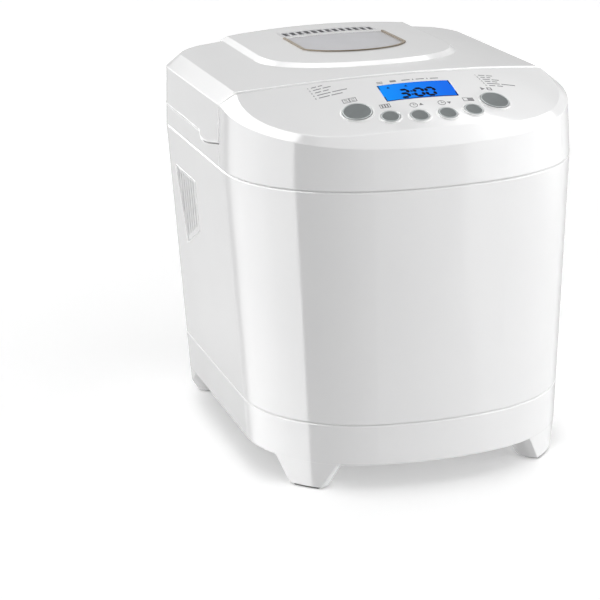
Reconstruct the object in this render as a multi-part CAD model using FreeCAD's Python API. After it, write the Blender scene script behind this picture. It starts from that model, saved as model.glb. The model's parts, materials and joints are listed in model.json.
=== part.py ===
import FreeCAD, Part
import math
import os

V = FreeCAD.Vector

# Domestic bread machine. Millimetres, X to the right, Y to the rear, Z up,
# with the origin on the ground under the middle of the housing.

# Housing in plan: a bowed front, large front corners, straight sides, small rear corners
half_width = 135.0
half_depth = 162.0
front_radius = 237.7
corner_radius = 107.0
rear_radius = 36.0
wall = 2.6
# Inset per millimetre of height, below and above the upper seam
draft = 0.05
lean = 0.043

# Heights of the housing
pad_height = 1.5
skirt_edge = 21.7
floor_recess = 2.5
floor_thickness = 2.5
lower_seam = 54.0
upper_seam = 234.0
seam_depth = 1.2
seam_width = 0.8
seam_lip = 1.0
deck_height = 10.0
deck_thickness = 2.6
lip_length = 8.0
lip_thickness = 1.6
lip_clearance = 0.7

# Lid and control panel
bevel_inset = 2.0
bevel_width = 11.8
bevel_rise = 9.6
bevel_foot = 281.0
crown = 10.2
panel_length = 116.7
lid_line_bow = 28.7
lid_gap = 0.7
lid_rise = 16.4
tab_drop = 5.4
tab_set = 52.3
tab_half = 12.0
tab_run = 36.0
panel_start_slope = 0.26
panel_radius = 520.0
panel_fall = 0.145

# Raised field, window and steam vent on the lid
field_half = 82.0
field_set = 37.5
field_end = 13.0
field_rise = 3.0
field_slope = 5.0
field_skirt = 3.3
window_half = 43.0
window_lead = 32.5
window_radius = 46.5
trim_width = 2.0
trim_proud = 0.8
glass_thickness = 3.2
glass_recess = 0.4
ledge = 2.0
vent_half = 41.0
vent_end = 42.0
vent_length = 19.5
vent_spacing = 4.5
slot_count = 13
slot_width = 4.2

# Lid inside and hinge
liner_rise = 13.0
liner_thickness = 1.0
liner_clearance = 1.0
seal_width = 6.0
seal_clearance = 0.4
boss_radius = 4.0
screw_radius = 1.6
head_radius = 3.2
head_height = 2.0
knuckle_radius = 4.5
pin_radius = 2.0
running_clearance = 0.05
side_clearance = 0.4
knuckle_length = 13.2
post_length = 8.0
hinge_offset = 70.0

# Buttons and display, with their places across and behind the front
button_travel = 1.2
button_clearance = 0.4
ring_width = 1.0
ring_proud = 0.8
cap_proud = 1.2
cap_depth = 4.5
well_floor = 1.5
stem_length = 6.0
dish_radius = 60.0
large_cap = 10.8
small_cap = 7.0
large_stem = 3.0
small_stem = 2.2
large_x = 53.0
large_set = 43.3
outer_x = 31.9
outer_set = 31.1
inner_x = 10.8
inner_set = 27.7
display_half = 28.1
display_set = 49.8
display_length = 23.3
controls_x = 2.2
lens_recess = 0.2
lens_depth = 4.4
module_depth = 5.6
board_depth = 20.0
board_thickness = 1.6
switch_half = 3.0
switch_gap = 2.0

# Baking chamber, pan and heater
chamber_rear_room = 28.0
chamber_ahead = 0.7
chamber_corner = 20.0
chamber_sheet = 1.2
chamber_floor = 62.0
flange = 8.0
pan_side_gap = 24.0
pan_end_gap = 14.0
pan_taper = 3.0
pan_corner = 10.0
pan_sheet = 1.5
pan_bottom = 84.0
pan_height = 130.0
pan_rim = 3.0
base_ring_radius = 40.0
base_ring_sheet = 2.5
floor_clearance = 0.4
ear_length = 16.0
bail_wire = 2.0
bail_drop = 8.0
bail_gap = 1.0
heater_radius = 3.3
heater_height = 76.0
heater_inset = 11.0
heater_bend = 18.0
heater_entry = 20.0
terminal_length = 10.0
fuse_half = 14.0
fuse_depth = 7.0
fuse_height = 10.0
clip_half = 8.0
clip_drop = 8.0
clip_sheet = 1.5

# Drive train
shaft_radius = 5.0
motor_shaft_radius = 4.0
bush_wall = 3.0
housing_radius = 16.0
plate_drop = 4.0
plate_thickness = 2.0
pulley_lift = 5.3
pulley_height = 10.0
pulley_flange = 1.5
flange_height = 2.0
large_pulley_radius = 50.0
small_pulley_radius = 10.0
belt_thickness = 3.0
belt_clearance = 0.4
motor_radius = 36.0
motor_height = 84.0
motor_set = 52.0
mount_height = 4.0
wing_half = 16.0
wing_width = 8.0
wing_height = 6.0
wing_clearance = 0.6
paddle_hub = 9.0
paddle_height = 25.0
paddle_reach = 44.0
paddle_blade = 5.0

# Feet, screws, vents and the cord inlet
foot_radius = 15.0
foot_flare = 14.0
foot_turn = 47.0
foot_edge = 8.0
foot_inset = 20.0
pad_radius = 12.0
pad_inset = 1.2
post_radius = 6.0
housing_screw = 2.0
side_vent_end = 54.0
side_vent_length = 62.0
side_vent_slant = 18.0
vent_top = 203.0
vent_front_low = 163.0
vent_rear_low = 143.0
side_slot = 2.6
side_pitch = 7.7
vent_recess = 1.0
inlet_half = 9.0
inlet_bore = 4.0
inlet_x = -70.0
inlet_height = 74.0

# Electrics beside the motor
shield_gap = 3.0
shield_sheet = 1.0
power_board_height = 60.0
power_board_lift = 16.0
power_board_gap = 4.0
relay_depth = 16.0
can_radius = 6.0
capacitor_radius = 14.0
capacitor_height = 62.0
capacitor_gap = 9.0
capacitor_side = 24.0

# Sizes that follow from the ones above
arc_y = front_radius - half_depth
lid_line_side = panel_length - half_depth
chamber_half = (half_depth - chamber_rear_room - lid_line_side + chamber_ahead) / 2
chamber_centre = half_depth - chamber_rear_room - chamber_half
pan_half_x = chamber_half - pan_side_gap
pan_half_y = chamber_half - pan_end_gap
bail_reach = pan_half_y + pan_rim + bail_wire + bail_gap
motor_y = motor_set - half_depth
large_y = large_set - half_depth
outer_y = outer_set - half_depth
inner_y = inner_set - half_depth
display_front = display_set - half_depth
display_rear = display_front + display_length
tab_middle = lid_line_side + tab_set
vent_y1 = half_depth - vent_end
vent_y0 = vent_y1 - vent_length
window_front = chamber_centre - window_lead
window_rear = vent_y0 - vent_spacing
field_rear = half_depth - field_end
vent_rear = half_depth - side_vent_end
vent_front = vent_rear - side_vent_length
vent_foot = vent_rear - side_vent_slant
corner_x = half_width - corner_radius
corner_y = arc_y - math.sqrt((front_radius - corner_radius) ** 2 - corner_x ** 2)
edge_half = half_width - bevel_inset - bevel_width
crown_radius = (edge_half ** 2 + crown ** 2) / (2 * crown)
lid_top = bevel_foot + bevel_rise + crown
lid_front_radius = (edge_half ** 2 + lid_line_bow ** 2) / (2 * lid_line_bow)
lid_front_centre = lid_line_side - lid_line_bow + lid_front_radius
lid_low = upper_seam + lid_rise
deck_top = upper_seam + deck_height
liner_low = lid_low + liner_rise - liner_thickness
liner_top = lid_low + liner_rise
panel_angle = math.atan(panel_start_slope)
panel_mid_y = lid_line_side - lid_line_bow
field_front = panel_mid_y + field_set
panel_centre_y = panel_mid_y + panel_radius * math.sin(panel_angle)
panel_centre_z = lid_top - panel_radius * math.cos(panel_angle)
panel_side_z = panel_centre_z + math.sqrt(panel_radius ** 2 - (lid_line_side - panel_centre_y) ** 2)
panel_sag = panel_side_z - bevel_foot - bevel_rise
panel_axis_z = panel_side_z - (edge_half ** 2 + panel_sag ** 2) / (2 * panel_sag)
hinge_y = half_depth - knuckle_radius - 1.5
hinge_z = lid_low + 2.1
floor_low = skirt_edge + floor_recess
floor_top = floor_low + floor_thickness
plate_low = lower_seam - plate_drop
plate_top = plate_low + plate_thickness
pulley_low = floor_top + pulley_lift
pan_top = pan_bottom + pan_height
chamber_inside = chamber_floor + chamber_sheet
flange_top = deck_top + chamber_sheet
wide = 2 * half_width
tall = 2 * lid_top


def box(x0, x1, y0, y1, z0, z1):
    return Part.makeBox(x1 - x0, y1 - y0, z1 - z0, V(x0, y0, z0))


def rod(radius, start, end):
    return Part.makeCylinder(radius, (end - start).Length, start, end - start)


def post(radius, x, y, z0, z1):
    return rod(radius, V(x, y, z0), V(x, y, z1))


def tube(outer, inner, x, y, z0, z1):
    return post(outer, x, y, z0, z1).cut(post(inner, x, y, z0, z1))


def line(a, b):
    return Part.makeLine(a, b)


def arc(a, b, c):
    return Part.Arc(a, b, c).toShape()


def polygon(points):
    return Part.Face(Part.makePolygon(points + [points[0]]))


def across(points):
    # A block with this outline in Y and Z that runs across the whole width.
    return polygon([V(-wide, y, z) for y, z in points]).extrude(V(2 * wide, 0, 0))


def plan_wire(inset, z):
    # The outline of the housing in plan, moved inwards by the inset.
    turn = math.atan2(corner_x, arc_y - corner_y)
    rf = front_radius - inset
    rc = corner_radius - inset
    rr = rear_radius - inset
    side = half_width - inset
    rear = half_depth - inset
    rear_x = half_width - rear_radius
    rear_y = half_depth - rear_radius
    slant = rr * math.sqrt(0.5)

    def front(t):
        return V(rf * math.sin(t), arc_y - rf * math.cos(t), z)

    def corner(s, t):
        return V(s * (corner_x + rc * math.sin(t)), corner_y - rc * math.cos(t), z)

    half = (turn + math.pi / 2) / 2
    edges = [arc(front(-turn), front(0), front(turn)),
             arc(corner(1, turn), corner(1, half), corner(1, math.pi / 2)),
             line(V(side, corner_y, z), V(side, rear_y, z)),
             arc(V(side, rear_y, z), V(rear_x + slant, rear_y + slant, z), V(rear_x, rear, z)),
             line(V(rear_x, rear, z), V(-rear_x, rear, z)),
             arc(V(-rear_x, rear, z), V(-rear_x - slant, rear_y + slant, z), V(-side, rear_y, z)),
             line(V(-side, rear_y, z), V(-side, corner_y, z)),
             arc(corner(-1, math.pi / 2), corner(-1, half), corner(-1, turn))]
    return Part.Wire(edges)


def plan_block(z0, inset0, z1, inset1):
    return Part.makeLoft([plan_wire(inset0, z0), plan_wire(inset1, z1)], True, True)


def lower_block(inset, z0, z1):
    # The drafted wall below the upper seam.
    return plan_block(z0, inset + draft * (upper_seam - z0), z1, inset + draft * (upper_seam - z1))


def upper_block(inset, z0, z1):
    # The leaning wall above the upper seam.
    return plan_block(z0, inset + lean * (z0 - upper_seam), z1, inset + lean * (z1 - upper_seam))


def seam_groove(z):
    # A groove around the housing, with a bevelled lip under it.
    low = z - seam_width / 2
    foot = low - seam_lip
    face = draft * (upper_seam - foot)
    ring = plan_block(foot, -wall, z + seam_width / 2, -wall)
    ring = ring.cut(plan_block(foot, face, low, face - draft * seam_lip + seam_lip))
    depth = draft * (upper_seam - z) + seam_depth
    return ring.cut(plan_block(low, depth, z + seam_width, depth))


def lid_circle(clearance, z0, z1):
    # Everything behind the bowed line between the panel and the lid.
    return post(lid_front_radius + clearance, 0, lid_front_centre, z0, z1)


def crown_block(depth):
    # Everything under the crowned top of the lid, less a depth.
    radius = crown_radius - depth
    half = half_width + 2 * wall
    front = -half_depth - wall
    base = upper_seam - 2 * lip_length
    edge = lid_top - crown_radius + math.sqrt(radius ** 2 - half ** 2)
    a = V(-half, front, edge)
    b = V(0, front, lid_top - depth)
    c = V(half, front, edge)
    d = V(half, front, base)
    e = V(-half, front, base)
    face = Part.Face(Part.Wire([arc(a, b, c), line(c, d), line(d, e), line(e, a)]))
    return face.extrude(V(0, 2 * half_depth + 2 * wall, 0))


def bevel_cut(depth, fall):
    # The ring above the bevel around the top, falling forwards from the lid line.
    drop = depth * math.hypot(bevel_width, bevel_rise) / bevel_width
    per_height = bevel_width / bevel_rise
    down = 2 * wall
    up = 2.4 * bevel_rise
    low = bevel_foot - drop - down
    high = bevel_foot - drop + up
    ring = plan_block(low, -4 * wall, high, -4 * wall)
    ring = ring.cut(plan_block(low, bevel_inset - down * per_height, high, bevel_inset + up * per_height))
    if fall:
        shear = FreeCAD.Matrix()
        shear.A32 = fall
        shear.A34 = -fall * lid_line_side
        ring = ring.transformGeometry(shear)
    return ring


def panel_height(y, depth=0.0):
    radius = panel_radius - depth
    return panel_centre_z + math.sqrt(radius ** 2 - (y - panel_centre_y) ** 2)


def panel_block(depth):
    # Everything under the control panel, which curves both ways.
    y0 = -half_depth - 2 * wall
    y1 = lid_line_side + 5 * wall
    base = upper_seam - 2 * lip_length
    a = V(0, y0, panel_height(y0, depth))
    b = V(0, (y0 + y1) / 2, panel_height((y0 + y1) / 2, depth))
    c = V(0, y1, panel_height(y1, depth))
    d = V(0, y1, base)
    e = V(0, y0, base)
    face = Part.Face(Part.Wire([arc(a, b, c), line(c, d), line(d, e), line(e, a)]))
    centre = V(0, 0, panel_axis_z)
    half_turn = math.degrees(math.asin((half_width + 2 * wall) / (base - panel_axis_z)))
    face.rotate(centre, V(0, 1, 0), -half_turn)
    return face.revolve(centre, V(0, 1, 0), 2 * half_turn)


def panel_frame(x, y):
    # The place on the panel's surface at x and y, and the direction out of it.
    radius = panel_height(y) - panel_axis_z
    tilt = math.asin((panel_centre_y - y) / panel_radius)
    roll = math.asin(x / radius)
    place = V(x, y, panel_axis_z + radius * math.cos(roll))
    normal = V(math.cos(tilt) * math.sin(roll), -math.sin(tilt), math.cos(tilt) * math.cos(roll))
    return place, normal


def rounded_wire(half_x, half_y, radius, z):
    # A rounded rectangle around the middle of the baking chamber.
    x = half_x - radius
    y = half_y - radius
    c = radius * math.sqrt(0.5)

    def at(px, py):
        return V(px, chamber_centre + py, z)

    edges = [line(at(-x, -half_y), at(x, -half_y)),
             arc(at(x, -half_y), at(x + c, -y - c), at(half_x, -y)),
             line(at(half_x, -y), at(half_x, y)),
             arc(at(half_x, y), at(x + c, y + c), at(x, half_y)),
             line(at(x, half_y), at(-x, half_y)),
             arc(at(-x, half_y), at(-x - c, y + c), at(-half_x, y)),
             line(at(-half_x, y), at(-half_x, -y)),
             arc(at(-half_x, -y), at(-x - c, -y - c), at(-x, -half_y))]
    return Part.Wire(edges)


def rounded_block(half_x, half_y, radius, z0, z1):
    return Part.Face(rounded_wire(half_x, half_y, radius, z0)).extrude(V(0, 0, z1 - z0))


def chamber_block(grow, z0, z1):
    half = chamber_half + grow
    return rounded_block(half, half, chamber_corner + grow, z0, z1)


def bullet_block(half, front, rear, radius, z0, z1):
    # A block with a straight rear, straight sides and a bowed front.
    side = front + radius - math.sqrt(radius ** 2 - half ** 2)
    edges = [arc(V(-half, side, z0), V(0, front, z0), V(half, side, z0)),
             line(V(half, side, z0), V(half, rear, z0)),
             line(V(half, rear, z0), V(-half, rear, z0)),
             line(V(-half, rear, z0), V(-half, side, z0))]
    return Part.Face(Part.Wire(edges)).extrude(V(0, 0, z1 - z0))


def window_block(inset, rear_inset, z0, z1):
    return bullet_block(window_half - inset, window_front + inset, window_rear - rear_inset,
                        window_radius - inset, z0, z1)


def lid_edge(clearance):
    # The lid's lower edge in Y and Z from the front to the rear, with the finger tab.
    low = lid_low - clearance
    return [(-wide, low + 2.2), (tab_middle - tab_half - tab_run, low + 2.2),
            (tab_middle - tab_half, low - tab_drop + 1.2), (tab_middle, low - tab_drop),
            (tab_middle + 0.8 * tab_half, low - tab_drop + 0.6),
            (tab_middle + 1.2 * tab_half, low), (hinge_y - 8, low)]


def below_lid(clearance, rear_step):
    # Everything below the lid's lower edge.
    points = lid_edge(clearance)
    if rear_step:
        points += [(hinge_y - 8, deck_top), (wide, deck_top)]
    else:
        points += [(wide, lid_low - clearance)]
    return across(points + [(wide, 0), (-wide, 0)])


def rim_bevel(side):
    # The corner that a bevelled lip leaves free along one side under the lid.
    outline = lid_edge(lid_gap) + [(hinge_y - 8, lid_top), (-wide, lid_top)]
    face = polygon([V(side * (half_width - seam_lip), y, z) for y, z in outline])
    return face.extrude(V(side * 2 * wall, 0, -2 * wall))


def lid_line_edges(shape, clearance):
    # The upper edges of a shape that lie on the bowed line between the panel and the lid.
    found = []
    for edge in shape.Edges:
        first, last = edge.FirstParameter, edge.LastParameter
        ends = [edge.valueAt(first), edge.valueAt(last), edge.valueAt((first + last) / 2)]
        reach = lid_front_radius + clearance
        away = [abs(math.hypot(end.x, end.y - lid_front_centre) - reach) for end in ends]
        if max(away) < 0.001 and ends[2].z > upper_seam + wall:
            found.append(edge)
    return found


def save(shape, name):
    shape.exportStep("parts/" + name + ".step")


os.makedirs("parts", exist_ok=True)

# Base tray: skirt, floor, feet and posts
tray = lower_block(0, skirt_edge, lower_seam)
tray = tray.cut(lower_block(wall, floor_top, lower_seam + wall))
tray = tray.cut(lower_block(wall, skirt_edge - wall, floor_low))
foot_form = lower_block(0.2, pad_height, floor_top)
foot_reach = corner_radius - draft * upper_seam - foot_edge
foot_angle = math.radians(foot_turn)
front_foot = (corner_x + foot_reach * math.sin(foot_angle), corner_y - foot_reach * math.cos(foot_angle))
rear_foot = (half_width - draft * upper_seam - foot_inset, half_depth - draft * upper_seam - foot_inset)
foot_places = [(s * p[0], p[1]) for p in (front_foot, rear_foot) for s in (-1, 1)]
feet = []
for x, y in foot_places:
    cone = Part.makeCone(foot_radius, foot_radius + foot_flare, floor_low - pad_height + 0.5, V(x, y, pad_height))
    feet.append(cone.common(foot_form))
post_x = large_pulley_radius + 20
post_places = [(s * post_x, chamber_centre + t * (large_pulley_radius + 24)) for s in (-1, 1) for t in (-1, 1)]
posts = [post(post_radius, x, y, floor_low, plate_low) for x, y in post_places]
tray = tray.fuse(feet + posts)
head_seat = floor_low + 3 * head_height
for x, y in post_places:
    tray = tray.cut(post(2 * housing_screw + 0.5, x, y, 0, head_seat))
    tray = tray.cut(post(housing_screw, x, y, 0, plate_low + wall))
tray = tray.cut(seam_groove(lower_seam)).removeSplitter()
save(tray, "base_tray")

pad_form = lower_block(pad_inset, 0, pad_height)
pads = [post(pad_radius, x, y, 0, pad_height).common(pad_form) for x, y in foot_places]
save(Part.makeCompound(pads), "foot_pads")

screws = []
for x, y in post_places:
    head = post(2 * housing_screw, x, y, head_seat - head_height, head_seat)
    screws.append(head.fuse(post(housing_screw, x, y, head_seat, plate_top + 1)))
save(Part.makeCompound(screws), "housing_screws")

# Main shell between the two seams, with a vent in each side and a seat for the cord inlet
shell = lower_block(0, lower_seam, upper_seam)
shell = shell.cut(lower_block(wall, lower_seam - wall, upper_seam + wall))
shell = shell.cut(seam_groove(lower_seam)).cut(seam_groove(upper_seam))
vent_outline = [(vent_front, vent_top), (vent_rear, vent_top), (vent_foot, vent_rear_low),
                (vent_front, vent_front_low)]
vent_form = across(vent_outline)
inlet_face = half_depth - draft * (upper_seam - inlet_height)
inlet_seat = box(inlet_x - inlet_half, inlet_x + inlet_half, inlet_face - 4 * wall, inlet_face + wall,
                 inlet_height - inlet_half, inlet_height + inlet_half)
vent_panels = shell.common(vent_form).common(lower_block(vent_recess, lower_seam, upper_seam))
shell = shell.cut(vent_form).cut(inlet_seat)
save(shell, "main_shell")

slot_number = int((vent_rear - vent_front) / side_pitch)
slots = []
for i in range(slot_number):
    y = vent_front + side_pitch * (i + 0.5)
    rear_run = (y - vent_foot) / (vent_rear - vent_foot)
    front_run = (y - vent_front) / (vent_foot - vent_front)
    low = vent_front_low + (vent_rear_low - vent_front_low) * front_run
    if rear_run > 0:
        low = vent_rear_low + (vent_top - vent_rear_low) * rear_run
    if vent_top - low > 5 * side_slot:
        slots.append(box(-wide, wide, y - side_slot / 2, y + side_slot / 2,
                         low + 2 * side_slot, vent_top - side_slot))
vent_panels = vent_panels.cut(Part.makeCompound(slots))
for solid in vent_panels.Solids:
    if solid.BoundBox.Center.x < 0:
        save(solid, "left_vent_grille")
    else:
        save(solid, "right_vent_grille")

# Cord inlet in a square seat in the rear wall
inlet = lower_block(0, inlet_height - inlet_half, inlet_height + inlet_half).common(inlet_seat)
inlet = inlet.common(box(-wide, wide, inlet_face - 3 * wall, wide, 0, upper_seam))
inlet = inlet.cut(rod(inlet_bore, V(inlet_x, 0, inlet_height), V(inlet_x, half_depth, inlet_height)))
save(inlet, "cord_gland")

# Top frame: control panel hood, rim around the chamber, deck, button wells and hinge posts
hood_form = upper_block(0, upper_seam, lid_top + crown)
hood_form = hood_form.common(panel_block(0)).cut(bevel_cut(0, panel_fall))
hood_form = hood_form.cut(lid_circle(lid_gap, 0, tall))
hood_form = hood_form.makeChamfer(seam_lip, lid_line_edges(hood_form, lid_gap))
hood_inside = upper_block(wall, upper_seam - wall, lid_top + crown)
hood_inside = hood_inside.common(panel_block(wall)).cut(bevel_cut(wall, panel_fall))
hood_inside = hood_inside.cut(lid_circle(lid_gap + wall, 0, tall))
hood = hood_form.cut(hood_inside)
rim = upper_block(0, upper_seam, lid_low + crown).common(lid_circle(lid_gap, 0, tall))
rim = rim.cut(upper_block(wall, upper_seam - wall, lid_low + 2 * crown)).common(below_lid(lid_gap, True))
rim = rim.cut([rim_bevel(-1), rim_bevel(1)])
deck = upper_block(wall / 4, deck_top - deck_thickness, deck_top).common(lid_circle(lid_gap + wall / 2, 0, tall))
deck = deck.cut(chamber_block(chamber_sheet + lip_clearance, 0, tall))
lip_low = upper_seam - lip_length
lip = plan_block(lip_low, wall + lip_clearance, upper_seam + lip_length, wall - 0.5)
lip = lip.cut(plan_block(lip_low - 1, wall + lip_clearance + lip_thickness,
                         upper_seam + lip_length + 1, wall + lip_clearance + lip_thickness))

buttons = {"start_button": (controls_x - large_x, large_y, large_cap, large_stem),
           "menu_button": (controls_x + large_x, large_y, large_cap, large_stem),
           "colour_button": (controls_x - outer_x, outer_y, small_cap, small_stem),
           "size_button": (controls_x - inner_x, inner_y, small_cap, small_stem),
           "time_up_button": (controls_x + inner_x, inner_y, small_cap, small_stem),
           "time_down_button": (controls_x + outer_x, outer_y, small_cap, small_stem)}
well_depth = cap_depth + button_travel + 0.8
wells = []
bores = []
switch_tops = []
for name in buttons:
    x, y, cap, stem = buttons[name]
    place, out = panel_frame(x, y)
    bore = cap + button_clearance
    wells.append(rod(bore + ring_width, place - out * (well_depth + well_floor), place + out * ring_proud))
    bores.append(rod(bore, place - out * well_depth, place + out * 2 * well_depth))
    bores.append(rod(stem + button_clearance, place - out * 2 * well_depth, place))
    body = rod(cap, place - out * cap_depth, place + out * cap_proud)
    body = body.cut(Part.makeSphere(dish_radius, place + out * (cap_proud + dish_radius - 0.9)))
    foot = place - out * (cap_depth + stem_length)
    body = body.fuse(rod(stem, foot, place - out * cap_depth)).removeSplitter()
    save(body, name)
    switch_tops.append(foot - out * switch_gap)

display_y = (display_front + display_rear) / 2
display_place, display_out = panel_frame(0, display_y)
display_place = display_place + V(controls_x, 0, 0)
tilt = math.degrees(math.asin(-display_out.y))
panel_placement = FreeCAD.Placement(display_place, FreeCAD.Rotation(V(1, 0, 0), tilt))
display_run = (display_rear - display_front) / 2 / math.cos(math.radians(tilt))


def on_panel(x0, x1, up0, up1, n0, n1):
    # A block in the display's own directions: across, up the slope, out of the panel.
    block = box(x0, x1, up0, up1, n0, n1)
    block.Placement = panel_placement
    return block


def panel_rod(radius, x, up, n0, n1):
    return rod(radius, panel_placement.multVec(V(x, up, n0)), panel_placement.multVec(V(x, up, n1)))


lens_hole = on_panel(-display_half, display_half, -display_run, display_run, -lens_depth, wall)
board_half = large_x + large_stem + 9
board_rear = display_run + 4
front_line = (inner_y - display_y) / math.cos(math.radians(tilt))
board_front = front_line - small_cap
boss_places = [(s * (board_half - boss_radius), board_rear - boss_radius) for s in (-1, 1)]
boss_places += [(s * (outer_x + small_cap + 2 * boss_radius), board_front + boss_radius) for s in (-1, 1)]
bosses = [panel_rod(boss_radius, x, up, -board_depth, 0).common(hood_form) for x, up in boss_places]

hinge_posts = []
hinge_pins = []
lid_knuckles = []
hinge_notches = []
knuckle_half = knuckle_length / 2
for side in (-1, 1):
    middle = side * hinge_offset
    for end in (-1, 1):
        inner = middle + end * (knuckle_half + side_clearance)
        outer = inner + end * post_length
        x0 = min(inner, outer)
        x1 = max(inner, outer)
        stand = box(x0, x1, hinge_y - knuckle_radius, hinge_y + knuckle_radius, deck_top - 1, hinge_z)
        hinge_posts.append(stand.fuse(rod(knuckle_radius, V(x0, hinge_y, hinge_z), V(x1, hinge_y, hinge_z))))
        hinge_notches.append(box(x0 - side_clearance, x1 + side_clearance, hinge_y - knuckle_radius - 1,
                                 half_depth + wall, lid_low - wall, hinge_z + knuckle_radius + 1))
    reach = knuckle_half + side_clearance + post_length
    pin_start = V(middle - reach, hinge_y, hinge_z)
    pin_end = V(middle + reach, hinge_y, hinge_z)
    hinge_pins.append(rod(pin_radius, pin_start, pin_end))
    lid_knuckles.append(rod(knuckle_radius, V(middle - knuckle_half, hinge_y, hinge_z),
                            V(middle + knuckle_half, hinge_y, hinge_z)))
hinge_bore = [rod(pin_radius, V(-wide, hinge_y, hinge_z), V(wide, hinge_y, hinge_z))]
lid_bore = rod(pin_radius + running_clearance, V(-wide, hinge_y, hinge_z), V(wide, hinge_y, hinge_z))

frame = hood.fuse([rim, deck, lip] + wells + bosses + hinge_posts)
frame = frame.cut(bores + [lens_hole, seam_groove(upper_seam)] + hinge_bore)
for x, up in boss_places:
    frame = frame.cut(panel_rod(screw_radius, x, up, -2 * board_depth, -board_depth / 2))
frame = frame.removeSplitter()
save(frame, "top_frame")
save(Part.makeCompound(hinge_pins), "hinge_pins")

# Display lens, display module, control board, switches and screws
lens = lens_hole.common(panel_block(lens_recess))
save(lens, "display_lens")
module_low = lens_depth + module_depth
module = on_panel(-display_half - 1, display_half + 1, -display_run - 1, display_run + 1, -module_low, -lens_depth)
legs = [panel_rod(1.5, s * (display_half - 3), t * (display_run - 3), -board_depth, -module_low)
        for s in (-1, 1) for t in (-1, 1)]
save(module.fuse(legs).removeSplitter(), "display_module")
board = on_panel(-board_half, board_half, board_front, board_rear, -board_depth - board_thickness, -board_depth)
board_screws = []
for x, up in boss_places:
    screw_hole = panel_rod(screw_radius, x, up, -2 * board_depth, 0)
    board = board.cut(screw_hole)
    head_top = -board_depth - board_thickness
    screw = panel_rod(head_radius, x, up, head_top - head_height, head_top)
    board_screws.append(screw.fuse(panel_rod(screw_radius, x, up, head_top, -board_depth / 2 - 1)))
save(board, "control_board")
save(Part.makeCompound(board_screws), "board_screws")
switches = []
for top in switch_tops:
    local = panel_placement.inverse().multVec(top)
    switches.append(on_panel(local.x - switch_half, local.x + switch_half, local.y - switch_half,
                             local.y + switch_half, -board_depth, local.z - 0.4))
save(Part.makeCompound(switches), "tact_switches")

# Lid shell: bevelled rim, crowned top, raised field, window tunnel, bosses and hinge knuckles
lid_form = upper_block(0, upper_seam, lid_top + crown).common(crown_block(0)).cut(bevel_cut(0, 0))
lid_form = lid_form.common(lid_circle(0, 0, tall)).cut(below_lid(0, False))
lid_inside = upper_block(wall, upper_seam - wall, lid_top + crown)
lid_inside = lid_inside.common(crown_block(wall)).cut(bevel_cut(wall, 0)).common(lid_circle(-wall, 0, tall))
field = bullet_block(field_half, field_front, field_rear, field_half, bevel_foot, lid_top + crown)
field = field.common(crown_block(-field_rise))


def field_edges(rear):
    # The edges of the field's top, either the rear one or the rest.
    found = []
    for edge in field.Edges:
        middle = edge.valueAt((edge.FirstParameter + edge.LastParameter) / 2)
        height = math.hypot(middle.x, middle.z - lid_top + crown_radius) - crown_radius
        if abs(height - field_rise) < 0.01 and (middle.y > field_rear - 1) == rear:
            found.append(edge)
    return found


for rear in (False, True):
    field = field.makeChamfer(field_skirt, field_slope, field_edges(rear))
field = field.cut(crown_block(wall / 2))
lid = lid_form.cut(lid_inside).fuse(field)
tunnel = window_block(-wall, -wall, liner_top, lid_top + crown).common(crown_block(wall / 2))
boss_x = chamber_half - 10.6
boss_y = [chamber_centre - 0.5 * chamber_half, chamber_centre + 0.62 * chamber_half]
lid_boss_places = [(s * boss_x, y) for s in (-1, 1) for y in boss_y]
lid_bosses = [post(boss_radius, x, y, liner_top, lid_top).common(crown_block(wall / 2)) for x, y in lid_boss_places]
lid_bosses = [boss.cut(bevel_cut(wall / 2, 0)) for boss in lid_bosses]
lid = lid.fuse([tunnel] + lid_bosses + lid_knuckles)
below_glass = crown_block(-field_rise + glass_recess + glass_thickness)
glass_seat = window_block(0, 0, bevel_foot, lid_top + 2 * crown).cut(below_glass)
sight = window_block(trim_width + ledge, ledge, liner_low - 1, lid_top + 2 * crown)
vent_seat = box(-vent_half, vent_half, vent_y0, vent_y1, bevel_foot, lid_top + 2 * crown).cut(below_glass)
vent_duct = box(-vent_half + ledge, vent_half - ledge, vent_y0 + ledge, vent_y1 - ledge, bevel_foot - crown,
                lid_top + 2 * crown)
lid = lid.cut([glass_seat, sight, vent_seat, vent_duct, lid_bore] + hinge_notches)
for x, y in lid_boss_places:
    lid = lid.cut(post(screw_radius, x, y, liner_low, liner_top + 4 * boss_radius))
lid = lid.removeSplitter()
save(lid, "lid_shell")

glass = window_block(trim_width, 0, bevel_foot, lid_top + 2 * crown)
glass = glass.common(crown_block(-field_rise + glass_recess)).cut(below_glass)
save(glass, "window_glass")
trim = window_block(0, 0, bevel_foot, lid_top + 2 * crown)
trim = trim.cut(window_block(trim_width, -wall, bevel_foot, lid_top + 2 * crown))
trim = trim.common(crown_block(-field_rise - trim_proud)).cut(below_glass)
save(trim, "window_trim")
grille = vent_seat.common(crown_block(-field_rise))
pitch = (2 * vent_half - 2 * ledge) / slot_count
grille_slots = []
for i in range(slot_count):
    x = -vent_half + ledge + pitch * (i + 0.5)
    grille_slots.append(box(x - slot_width / 2, x + slot_width / 2, vent_y0 + ledge + 1, vent_y1 - ledge - 1,
                            bevel_foot, lid_top + 2 * crown))
save(grille.cut(grille_slots), "lid_vent_grille")

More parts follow.
